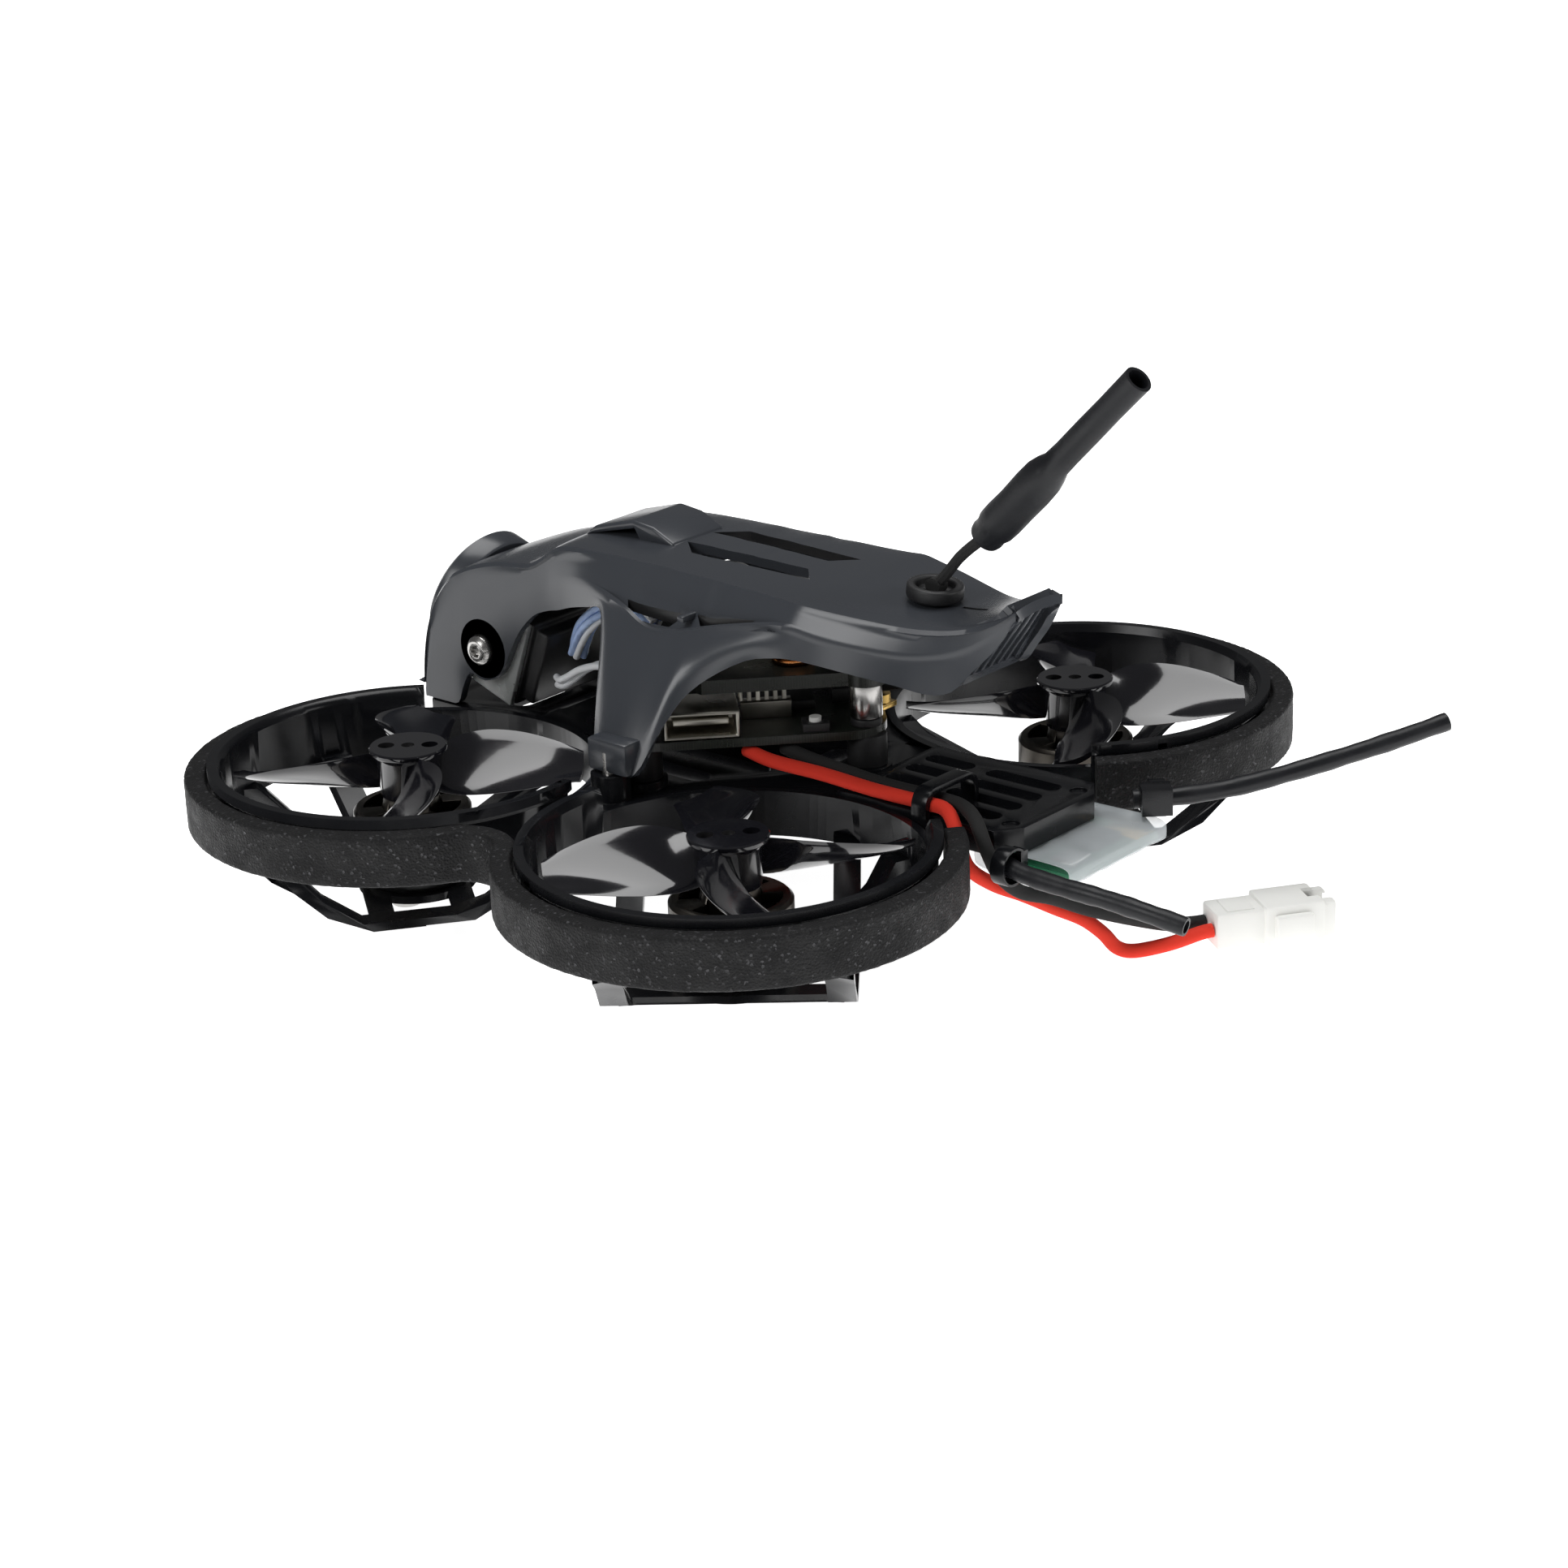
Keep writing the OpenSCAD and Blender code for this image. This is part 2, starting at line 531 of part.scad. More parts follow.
function blade_point(s, t, side) = let (
        r = s[0] * prop_d / 2,
        a = s[4] + t * s[1] * cos(s[2]) / r * 180 / PI,
        z = s[3] + t * s[1] * sin(s[2]) - 0.1 * s[1] * (1 - 4 * t * t) + side * 0.34 * (1 - 1.6 * t * t))
    [r * cos(a), r * sin(a), z];
function blade_ring(s) = concat([for (k = [0:4]) blade_point(s, -0.5 + k / 4, 1)],
    [for (k = [4:-1:0]) blade_point(s, -0.5 + k / 4, -1)]);

module propeller_shape() difference() {
    union() {
        rotate_extrude() polygon([[0, hub_low], [3.5, hub_low], [3.8, hub_top - 1.2], [4.5, hub_top - 0.6],
            [4.5, hub_top], [0, hub_top]]);
        for (k = [0:3]) rotate(90 * k) skin([for (s = BLADE) blade_ring(s)]);
    }
    translate([0, 0, hub_low - 1]) cylinder(r = shaft_r, h = 10);
    for (x = [-2.5, 2.5]) translate([x, 0, hub_low - 1]) cylinder(r = 0.95, h = 10);
}

module propeller(i, turn) color(moulded_black) at_motor(i) rotate(turn)
    mirror([0, MOTORS[i][0] * MOTORS[i][1] > 0 ? 0 : 1, 0]) propeller_shape();

// ---- Board stack ----

module board_outline(w, r) diamond() round_rect(w, w, r);

module flight_controller_board() color(board_black) difference() {
    translate([0, 0, board_low]) linear_extrude(board_t) board_outline(board_w, 4.5);
    stack_corners() translate([0, 0, 5]) cylinder(r = 1.55, h = 5);
}

// Chips: [x, y, width, depth, height] in the board's own square frame
TOP_CHIPS = [[-4, 3, 7, 7, 1], [5, 4, 3, 3, 0.8], [6.5, -3.5, 4.6, 3, 0.9], [-6, -5.4, 3.4, 2.6, 1],
    [0, -6.4, 2.4, 2.2, 1.1], [3.4, -10.6, 4, 2.4, 1.4], [-10.8, 2.6, 2.4, 4.6, 1.6], [9.6, 5.2, 2.6, 5, 1.4]];
module flight_controller_chips() color(moulded_black) diamond() {
    for (c = TOP_CHIPS) translate([c[0], c[1], board_top]) translate([-c[2] / 2, -c[3] / 2, 0])
        cube([c[2], c[3], c[4]]);
    for (k = [-2:1]) for (s = [-1, 1]) translate([s * 9.5 - 1.6, 4.3 * k + 0.4, board_low - 0.9])
        cube([3.2, 3.4, 0.9]);
    // The switch under the boot button has a well for the button's travel
    translate([-6.9, 13.5, board_top]) difference() {
        translate([-1.5, -1.3, 0]) cube([3, 2.6, 1]);
        translate([0, 0, 0.4]) cylinder(r = 0.75, h = 1);
    }
}

module usb_port() color(steel) diamond() translate([6, 11.2, board_top]) {
    difference() {
        translate([-4.3, -3.2, 0]) cube([8.6, 7, 3.2]);
        translate([-3.9, -2, 0.4]) cube([7.8, 8, 2.4]);
    }
    translate([-3.2, -2, 1.2]) cube([6.4, 4.4, 0.8]);
}

// Pins that join the two boards, along the rear left edge
module pin_header() color(steel) diamond() {
    translate([-4.6, 7.2, board_top]) cube([5.8, 1.8, 2]);
    for (k = [0:5]) translate([-4.1 + k, 7.9, board_top + 2]) cube([0.5, 0.5, vtx_low - board_top - 2]);
}

module boot_button() color(nylon_white) diamond() translate([-6.9, 13.5, board_top + 0.7])
    cylinder(r = 0.7, h = 0.8);

module rubber_dampers() color(foam_black) stack_corners() difference() {
    union() {
        translate([0, 0, deck_h]) cylinder(r = 2.3, h = board_low - deck_h);
        translate([0, 0, board_low]) cylinder(r = 1.5, h = board_t);
        translate([0, 0, board_top]) cylinder(r = 1.8, h = 0.9);
    }
    cylinder(r = 1.05, h = 20);
}

// Two long screws carry both boards fore and aft, and two short ones hold the sides
module stack_screws() color(steel) for (a = [0:90:270]) rotate(a) translate([stack_r, 0, 0.1]) {
    pan_screw(1.9, 1.2, 0.98, a % 180 == 0 ? vtx_top + 0.6 : 8.2);
    if (a % 180 == 0) translate([0, 0, board_top + 0.9]) difference() {
        cylinder(r = 1.9, h = vtx_low - board_top - 1);
        translate([0, 0, -1]) cylinder(r = 0.9, h = 20);
    }
}

module video_transmitter_board() color(board_black) difference() {
    translate([0, 0, vtx_low]) linear_extrude(vtx_t) {
        intersection() {
            board_outline(28, 3);
            square([40, 28], center = true);
        }
        for (s = [-1, 1]) translate([s * stack_r, 0]) circle(2.4);
    }
    for (s = [-1, 1]) translate([s * stack_r, 0, 0]) cylinder(r = 1.05, h = 30);
}

module video_transmitter_shield() color(steel) translate([0, 0, vtx_top]) diamond()
    translate([0, -1, 0]) linear_extrude(1.8) round_rect(15, 13, 1);

module inductor() color(copper) diamond() translate([-5, 8.6, vtx_top]) {
    rotate_extrude() translate([0.8, 0]) square([1.6, 1.5]);
    cylinder(r = 0.78, h = 1.3);
}

module antenna_socket() color("goldenrod") translate([-15.6, -5.6, board_top]) {
    translate([-1.3, -1.3, 0]) cube([2.6, 2.6, 0.6]);
    translate([0, 0, 0.6]) cylinder(r = 1.15, h = 1);
}

module antenna_coax() color(moulded_black) cord(COAX_ROUTE, 0.6, 2);

module antenna_grommet() color(foam_black) translate(grommet_at) rotate([0, grommet_lean, 0]) difference() {
    union() {
        translate([0, 0, 0.1]) cylinder(r = 3.2, h = 1.6);
        translate([0, 0, -1.4]) cylinder(r = 2.1, h = 1.6);
    }
    translate([0, 0, -4]) cylinder(r = 1.5, h = 10);
    translate([0, 0, 0.6]) cylinder(r = 2.2, h = 4);
}

module video_antenna_stem() color(moulded_black) {
    translate(antenna_pivot) along_y(1.6) circle(0.95);
    cord(STEM_ROUTE, 0.65, 2);
}

module video_antenna_sleeve() color(moulded_black) translate(sleeve_at) rotate([0, -sleeve_lean, 0])
    rotate_extrude() polygon([[0.66, 0.4], [2, 0.4], [2, 1.8], [2.35, 2.6], [2.35, 12.4], [1.6, 13.8],
        [1.6, 29], [1.2, 29], [1.2, 16], [0.66, 16]]);

// ---- Receiver ----

module receiver_board() color([0.1, 0.35, 0.2]) translate([-45, -2, -2]) {
    translate([-6, -8, 0]) cube([12, 16, 1]);
    translate([-4, -4, 1]) cube([5, 5, 0.9]);
    translate([-5, 3, 1]) cube([3, 3.6, 0.9]);
}

module receiver_sleeve() color([0.75, 0.8, 0.85, 0.5]) translate([-45, -2, seat_pad]) difference() {
    translate([-6.6, -9, -3]) cube([13.2, 18, 3]);
    translate([-6.1, -9.5, -2.5]) cube([12.2, 19, 2.1]);
}

module receiver_antenna_left() color(moulded_black) cord(TUBE_LEFT, 1.1, 2);
module receiver_antenna_right() color(moulded_black) cord(TUBE_RIGHT, 1.1, 2);

// Zip ties: a flat loop with a block head
module tie_loop(w, h, width) rotate([90, 0, 90]) linear_extrude(width, center = true) difference() {
    round_rect(w + 1.4, h + 1.4, 2);
    round_rect(w, h, 1.6);
}

module zip_ties() color(moulded_black) {
    // Over the deck's left rail, through a slot, round the battery leads
    translate([-33.5, 5.5, 2.6]) tie_loop(8.1, 6, 2);
    // At the rear corners, round the receiver's antenna tubes
    translate([-46.8, 11.7, 1.0]) tie_loop(2.8, 2.8, 1.8);
    translate([-47.7, 9.4, -0.8]) cube([1.8, 1.2, 3.2]);
    translate([-48, -14.1, 1.1]) rotate([0, 0, 42]) {
        tie_loop(2.8, 2.8, 1.8);
        translate([-1.2, 1.8, -0.4]) cube([3.4, 3, 3]);
    }
}

// ---- Battery lead ----

module battery_lead_red() color(lead_red) cord(RED_ROUTE, lead_r, 2);
module battery_lead_black() color(moulded_black) cord(BLACK_ROUTE, lead_r, 2);

module at_plug() translate(plug_at) rotate([0, 0, plug_heading]) children();

module battery_plug() color(nylon_white) at_plug() difference() {
    union() {
        translate([0, -plug_w / 2 + 0.5, -plug_h / 2 + 0.4]) cube([plug_l, plug_w - 1, plug_h - 0.8]);
        translate([5.5, -plug_w / 2, -plug_h / 2]) cube([plug_l - 7, plug_w, plug_h]);
        for (s = [-1, 1]) translate([6.5, s * (plug_w / 2 + 0.4) - 0.6, -1.5]) cube([4.4, 1.2, 3]);
    }
    translate([plug_l - 5, -plug_w / 2 + 1, -plug_h / 2 + 0.9]) cube([6, plug_w - 2, plug_h - 1.8]);
    // The mouth is notched through its flat sides, so the contacts show
    translate([plug_l - 3, -1.2, -plug_h]) cube([4, 2.4, 2 * plug_h]);
}

module battery_plug_pins() color(steel) at_plug() for (s = [-1, 1])
    translate([plug_l - 5, s * 1.1 - 0.4, -0.4]) cube([4.2, 0.8, 0.8]);

// ---- Camera ----

module in_camera() translate(pivot) rotate([0, -camera_tilt, 0]) children();

module camera_case() color(moulded_black) in_camera() {
    translate([-5.2, -camera_w / 2, -camera_h / 2]) cube([case_depth, camera_w, camera_h]);
    translate([-7, -camera_w / 2 + 0.8, -camera_h / 2 + 0.8]) cube([1.8, camera_w - 1.6, camera_h - 1.6]);
}

module camera_side_plates() color([0.7, 0.72, 0.7]) in_camera() both_sides()
    translate([0, camera_w / 2 + 0.4, 0]) along_y(0.8) difference() {
        polygon([[-5, -camera_h / 2], [1.5, -camera_h / 2], [3.6, -2.5], [3.6, 4], [1.5, camera_h / 2],
            [-5, camera_h / 2]]);
        circle(1);
    }

module camera_lens() color(moulded_black) in_camera() rotate([0, 90, 0]) difference() {
    union() {
        translate([0, 0, 3.8]) cylinder(r = 4.6, h = 3);
        translate([0, 0, 6.8]) cylinder(r = 5.2, h = 4.6);
    }
    translate([0, 0, 10]) cylinder(r1 = 3.6, r2 = 4.6, h = 1.5);
}

module camera_glass() color([0.2, 0.25, 0.4, 0.6]) in_camera() translate([10, 0, 0]) rotate([0, 90, 0])
    cylinder(r = 3.6, h = 0.6);

module camera_screws() color(steel) both_sides() translate([pivot[0], cheek_y + 0.1, pivot[2]]) {
    rotate([90, 0, 0]) cylinder(r = 1, h = cheek_y + 0.1 - camera_w / 2);
    rotate([-90, 0, 0]) difference() {
        rotate_extrude() polygon([[0, 0], [1.9, 0], [1.8, 0.7], [1.3, 1.2], [0, 1.3]]);
        translate([0, 0, 0.6]) cylinder(r = 0.75, h = 2, $fn = 6);
    }
}

module camera_wires() color([0.55, 0.7, 0.95]) cord(CAMERA_WIRES, 1.3);
module camera_cable() color(nylon_white) cord(CAMERA_CABLE, 0.9, 2);

centre_frame();
duct(0);  // duct_front_left
duct(1);  // duct_front_right
duct(2);  // duct_rear_left
duct(3);  // duct_rear_right
foam_bumper();  // foam_bumper_left
mirror([0, 1, 0]) foam_bumper();  // foam_bumper_right
canopy();
canopy_screws();
motor_stators();
motor_windings();
motor_screws();
motor_leads();
motor_bell(0);  // motor_bell_front_left
motor_bell(1);  // motor_bell_front_right
motor_bell(2);  // motor_bell_rear_left
motor_bell(3);  // motor_bell_rear_right
motor_magnets(0);  // motor_magnets_front_left
motor_magnets(1);  // motor_magnets_front_right
motor_magnets(2);  // motor_magnets_rear_left
motor_magnets(3);  // motor_magnets_rear_right
motor_shaft(0);  // motor_shaft_front_left
motor_shaft(1);  // motor_shaft_front_right
motor_shaft(2);  // motor_shaft_rear_left
motor_shaft(3);  // motor_shaft_rear_right
propeller(0, 39);  // propeller_front_left
propeller(1, 20);  // propeller_front_right
propeller(2, 50);  // propeller_rear_left
propeller(3, 38);  // propeller_rear_right
flight_controller_board();
flight_controller_chips();
usb_port();
pin_header();
boot_button();
rubber_dampers();
stack_screws();
video_transmitter_board();
video_transmitter_shield();
inductor();
antenna_socket();
antenna_coax();
antenna_grommet();
video_antenna_stem();
video_antenna_sleeve();
receiver_board();
receiver_sleeve();
receiver_antenna_left();
receiver_antenna_right();
zip_ties();
battery_lead_red();
battery_lead_black();
battery_plug();
battery_plug_pins();
camera_case();
camera_side_plates();
camera_lens();
camera_glass();
camera_screws();
camera_wires();
camera_cable();
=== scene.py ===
"""Looks of a small ducted racing drone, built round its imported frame. All sizes are in metres."""

from __future__ import annotations

import json
import logging
import math
import random
from dataclasses import dataclass, field
from enum import Enum
from typing import Callable, Iterable, Sequence

import bmesh
import bpy
from mathutils import Matrix, Vector

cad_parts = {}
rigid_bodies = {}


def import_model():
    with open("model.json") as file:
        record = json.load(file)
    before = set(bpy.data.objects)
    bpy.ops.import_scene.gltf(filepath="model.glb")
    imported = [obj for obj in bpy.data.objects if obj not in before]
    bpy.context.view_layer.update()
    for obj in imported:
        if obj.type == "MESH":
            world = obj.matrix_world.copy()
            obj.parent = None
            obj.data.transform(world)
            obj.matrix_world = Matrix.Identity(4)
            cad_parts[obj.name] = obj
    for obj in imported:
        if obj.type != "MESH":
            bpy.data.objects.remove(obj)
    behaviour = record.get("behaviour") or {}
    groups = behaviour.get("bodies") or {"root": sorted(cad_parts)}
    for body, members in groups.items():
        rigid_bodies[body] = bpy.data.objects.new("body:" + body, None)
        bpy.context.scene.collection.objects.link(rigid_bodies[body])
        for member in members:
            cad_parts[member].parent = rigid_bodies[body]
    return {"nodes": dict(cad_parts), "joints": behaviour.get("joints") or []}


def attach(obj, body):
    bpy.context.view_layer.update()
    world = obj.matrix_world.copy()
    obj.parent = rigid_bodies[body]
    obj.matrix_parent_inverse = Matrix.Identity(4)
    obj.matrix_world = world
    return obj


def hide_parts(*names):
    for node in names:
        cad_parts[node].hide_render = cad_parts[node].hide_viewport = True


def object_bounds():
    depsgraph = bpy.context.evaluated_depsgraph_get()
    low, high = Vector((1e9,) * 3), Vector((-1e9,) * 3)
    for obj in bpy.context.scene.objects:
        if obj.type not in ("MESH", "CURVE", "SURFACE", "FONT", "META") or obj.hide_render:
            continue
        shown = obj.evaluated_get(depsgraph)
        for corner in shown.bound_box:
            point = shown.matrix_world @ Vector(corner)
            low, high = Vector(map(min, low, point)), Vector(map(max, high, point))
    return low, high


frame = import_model()
CAD_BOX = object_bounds()
LOG = logging.getLogger("drone")
MM = 0.001
TURN_WIDTH = 6
Point = tuple[float, float, float]
Socket = bpy.types.NodeSocket


def mm(*values: float) -> Vector:
    """A point given in millimetres, as a vector in metres."""
    return Vector(values) * MM


def placed(at: Sequence[float], degrees: float = 0.0, axis: str = "Z") -> Matrix:
    """A place given in millimetres, with a turn about one axis there."""
    return Matrix.Translation(mm(*at)) @ Matrix.Rotation(math.radians(degrees), 4, axis)


# ---- Materials ----


class Pattern(Enum):
    """How a finish varies over its surface."""

    MOULDED = "moulded"
    FOAM = "foam"
    TURNED = "turned"
    WOUND = "wound"
    CIRCUIT = "circuit"
    BRAID = "braid"


@dataclass(frozen=True)
class Finish:
    """One surface finish, with the pattern and the scale of its detail.

    Attributes:
        name: The material's name.
        colour: Base colour, linear RGB.
        second: Colour that the pattern mixes in.
        roughness: Mean roughness.
        spread: How far the roughness varies each way.
        metallic: 1 for a metal.
        grain: Size of the finest detail, in millimetres.
        depth: Height of that detail, in millimetres.
        cloud: Size of the slow colour variation, in millimetres.
        pattern: Kind of pattern.
        settings: Shader sockets that stay the same all over.
    """

    name: str
    colour: Point
    second: Point
    roughness: float = 0.4
    spread: float = 0.08
    metallic: float = 0.0
    grain: float = 0.15
    depth: float = 0.004
    cloud: float = 6.0
    pattern: Pattern = Pattern.MOULDED
    settings: tuple[tuple[str, float], ...] = ()

    def material(self) -> bpy.types.Material:
        """The finish as a node material, made once.

        Returns:
            The material.
        """
        made = bpy.data.materials.get(self.name)
        if made:
            return made
        made = bpy.data.materials.new(self.name)
        made.use_nodes = True
        graph = Graph(made.node_tree)
        shader = made.node_tree.nodes["Principled BSDF"]
        shader.inputs["Metallic"].default_value = self.metallic
        for socket, value in self.settings:
            shader.inputs[socket].default_value = value
        here = graph.add("ShaderNodeTexCoord").outputs["Object"]
        cloud = graph.noise(here, 1 / (self.cloud * MM), 3.0)
        height, mask = self.detail(graph, here, cloud)
        graph.link(graph.mix(mask, self.colour, self.second), shader.inputs["Base Color"])
        low, high = self.roughness - self.spread, self.roughness + self.spread
        graph.link(graph.spread(cloud, low, high), shader.inputs["Roughness"])
        bump = graph.add("ShaderNodeBump", Height=height, Distance=self.depth * MM, Strength=1.0)
        graph.link(bump.outputs["Normal"], shader.inputs["Normal"])
        made.diffuse_color = (*self.colour, 1)
        return made

    def detail(self, graph: Graph, here: Socket, cloud: Socket) -> tuple[Socket, Socket]:
        """The pattern's height, and the mask that mixes the two colours.

        Args:
            graph: The material's graph.
            here: Object coordinates.
            cloud: Slow noise, the mask of a pattern that has none of its own.

        Returns:
            Height and mask.
        """
        scale = 1 / (self.grain * MM)
        if self.pattern is Pattern.WOUND:
            turns = graph.waves(here, scale / TURN_WIDTH, 0.6, "Z")
            # The colour follows the bands' height: painted shade in the grooves between turns and
            # painted highlight on their crests.
            return turns, graph.ramp(turns, 0.1, 0.7)
        if self.pattern is Pattern.CIRCUIT:
            tracks = graph.add("ShaderNodeTexBrick", here, Scale=scale)
            tracks.offset = 0.37
            mask = graph.ramp(tracks.outputs["Fac"], 0.4, 0.6)
            return mask, mask
        fine = graph.noise(here, scale, 2.0)
        if self.pattern is Pattern.FOAM:
            cells = graph.add("ShaderNodeTexVoronoi", here, Scale=scale)
            # Pale random cells: painted glints, not the foam's own colour.
            mask = graph.ramp(cells.outputs["Color"], 0.80, 0.98)
            return graph.math("ADD", cells.outputs["Distance"], fine), mask
        if self.pattern is Pattern.TURNED:
            rings = graph.waves(here, scale / TURN_WIDTH, 0.4, "Z")
            return graph.math("ADD", rings, fine), cloud
        if self.pattern is Pattern.BRAID:
            folds = graph.waves(here, scale / TURN_WIDTH, 2.5, "X")
            return graph.math("ADD", folds, fine), cloud
        return fine, cloud


class Graph:
    """A short way to write a node tree."""

    def __init__(self, tree: bpy.types.NodeTree) -> None:
        """Starts on a tree."""
        self.tree = tree

    def add(self, kind: str, vector: Socket | None = None,
            **values: Socket | float) -> bpy.types.Node:
        """A new node, with its inputs linked or set.

        Args:
            kind: Blender's name for the node type.
            vector: What its Vector input reads.
            **values: What its other inputs read, or their values, by name.

        Returns:
            The node.
        """
        node = self.tree.nodes.new(kind)
        if vector is not None:
            self.link(vector, node.inputs["Vector"])
        for name, value in values.items():
            self.feed(value, node.inputs[name])
        return node

    def link(self, out: Socket, into: Socket) -> None:
        """Joins two sockets."""
        self.tree.links.new(out, into)

    def feed(self, value: Socket | float, into: Socket) -> None:
        """Links a socket to an input, or sets the input to a number.

        Args:
            value: The socket or the number.
            into: The input.
        """
        if isinstance(value, bpy.types.NodeSocket):
            self.link(value, into)
        else:
            into.default_value = value

    def noise(self, vector: Socket, scale: float, detail: float) -> Socket:
        """Noise at a scale, as its factor output."""
        return self.add("ShaderNodeTexNoise", vector, Scale=scale, Detail=detail).outputs["Fac"]

    def waves(self, vector: Socket, scale: float, distortion: float, along: str) -> Socket:
        """Bands across an axis.

        Args:
            vector: Coordinates.
            scale: Scale of the bands.
            distortion: How uneven they are.
            along: The axis that they follow one another on.

        Returns:
            Their factor output.
        """
        node = self.add("ShaderNodeTexWave", vector, Scale=scale, Distortion=distortion)
        node.wave_type, node.bands_direction = "BANDS", along
        return node.outputs["Fac"]

    def math(self, what: str, *terms: Socket | float) -> Socket:
        """A math operation.

        Args:
            what: Blender's name for it.
            *terms: The sockets and numbers that it takes.

        Returns:
            The result.
        """
        node = self.add("ShaderNodeMath")
        node.operation = what
        for term, socket in zip(terms, node.inputs):
            self.feed(term, socket)
        return node.outputs[0]

    def total(self, a: Socket, b: Socket) -> Socket:
        """The sum of two vectors.

        Args:
            a: One vector.
            b: The other.

        Returns:
            Their sum.
        """
        node = self.add("ShaderNodeVectorMath")
        self.link(a, node.inputs[0])
        self.link(b, node.inputs[1])
        return node.outputs[0]

    def mix(self, mask: Socket, colour: Point, second: Point) -> Socket:
        """Two colours mixed by a mask.

        Args:
            mask: 0 for the first colour and 1 for the second.
            colour: First colour, linear RGB.
            second: Second colour.

        Returns:
            The mixed colour.
        """
        node = self.add("ShaderNodeMix")
        node.data_type = "RGBA"
        self.link(mask, node.inputs["Factor"])
        node.inputs[6].default_value = (*colour, 1)
        node.inputs[7].default_value = (*second, 1)
        return node.outputs[2]

    def ramp(self, value: Socket, low: float, high: float) -> Socket:
        """A value pushed to 0 below low and 1 above high."""
        return self.remap(value, low, high, 0.0, 1.0)

    def spread(self, value: Socket, low: float, high: float) -> Socket:
        """Noise between 0.3 and 0.7 spread to low and high."""
        return self.remap(value, 0.3, 0.7, max(0.02, low), min(1.0, high))

    def remap(self, value: Socket, *ends: float) -> Socket:
        """A value moved from one range to another.

        Args:
            value: The value.
            *ends: The ends of the first range, then of the second.

        Returns:
            The moved value.
        """
        node = self.add("ShaderNodeMapRange", Value=value)
        for name, end in zip(("From Min", "From Max", "To Min", "To Max"), ends):
            node.inputs[name].default_value = end
        return node.outputs["Result"]


DULL = (("Specular IOR Level", 0.30),)
SATIN_FRAME = Finish(
    "satin_frame", (0.004, 0.0043, 0.0055), (0.007, 0.0075, 0.009), 0.24, 0.06, depth=0.0016,
    settings=DULL)
CANOPY_SLATE = Finish(
    "canopy_slate", (0.004, 0.0045, 0.006), (0.006, 0.0066, 0.0085), 0.25, 0.05, grain=0.08,
    depth=0.0012, cloud=9, settings=(("Specular IOR Level", 0.20),))
BLADE_GLOSS = Finish(
    "blade_gloss", (0.006, 0.006, 0.008), (0.010, 0.010, 0.013), 0.12, 0.04, grain=2.0,
    cloud=5, settings=(("Coat Weight", 0.5), ("Coat Roughness", 0.05)))
# Black foam. Its second colour lights random cells: painted glints that stand in for light caught
# by the cut foam cells.
FOAM_BLACK_GLINTS_PAINTED = Finish(
    "foam_black", (0.0035, 0.0035, 0.004), (0.075, 0.075, 0.080), 0.66, 0.12, grain=0.26,
    depth=0.09, cloud=3, pattern=Pattern.FOAM, settings=DULL)
BELL_METAL = Finish(
    "bell_metal", (0.060, 0.055, 0.050), (0.11, 0.10, 0.085), 0.34, 0.08, 1.0, grain=0.12,
    depth=0.002, pattern=Pattern.TURNED)
MACHINED = Finish(
    "machined", (0.46, 0.43, 0.37), (0.60, 0.57, 0.50), 0.28, 0.08, 1.0, grain=0.1,
    depth=0.002, pattern=Pattern.TURNED)
# Copper wire. Its lighter second colour follows the crests of the wound bands: painted highlight on
# each turn's crest and painted shade in the grooves between turns.
COPPER_TURN_SHADE_PAINTED = Finish(
    "copper_wire_shade_painted", (0.50, 0.15, 0.035), (0.80, 0.34, 0.12), 0.30, 0.08, 1.0, grain=0.28,
    depth=0.05, pattern=Pattern.WOUND)
NICKEL = Finish(
    "nickel", (0.44, 0.43, 0.42), (0.58, 0.57, 0.55), 0.26, 0.08, 1.0, grain=0.2, depth=0.002)
MASK_BLACK = Finish(
    "solder_mask", (0.012, 0.014, 0.011), (0.022, 0.026, 0.019), 0.32, 0.08, grain=0.9,
    depth=0.012, pattern=Pattern.CIRCUIT)
EPOXY = Finish(
    "chip_epoxy", (0.010, 0.010, 0.011), (0.018, 0.018, 0.019), 0.45, 0.1, grain=0.06,
    depth=0.002)
TIN = Finish(
    "stamped_tin", (0.42, 0.40, 0.35), (0.60, 0.58, 0.52), 0.34, 0.1, 1.0, grain=0.3,
    depth=0.003)
GOLD = Finish(
    "gold_plate", (0.72, 0.45, 0.12), (0.90, 0.62, 0.22), 0.24, 0.08, 1.0, grain=0.2,
    depth=0.002)
SOFT_RUBBER = Finish(
    "soft_rubber", (0.008, 0.008, 0.009), (0.014, 0.014, 0.015), 0.55, 0.08, grain=0.1,
    depth=0.003)
SHRINK_TUBE = Finish(
    "shrink_tube", (0.007, 0.0075, 0.009), (0.012, 0.0125, 0.015), 0.40, 0.08, grain=0.45,
    depth=0.02, cloud=4, settings=DULL)
LEAD_RED = Finish(
    "lead_red", (0.70, 0.030, 0.010), (0.80, 0.050, 0.018), 0.38, 0.06, grain=0.3,
    depth=0.008, settings=(("Subsurface Weight", 0.08), ("Subsurface Scale", 0.0005)))
LEAD_BLACK = Finish(
    "lead_black", (0.010, 0.010, 0.012), (0.016, 0.016, 0.018), 0.38, 0.08, grain=0.3,
    depth=0.008)
NYLON_WHITE = Finish(
    "nylon_white", (0.40, 0.40, 0.39), (0.50, 0.50, 0.49), 0.35, 0.06, grain=0.2,
    settings=(("Subsurface Weight", 0.2), ("Subsurface Scale", 0.0006)))
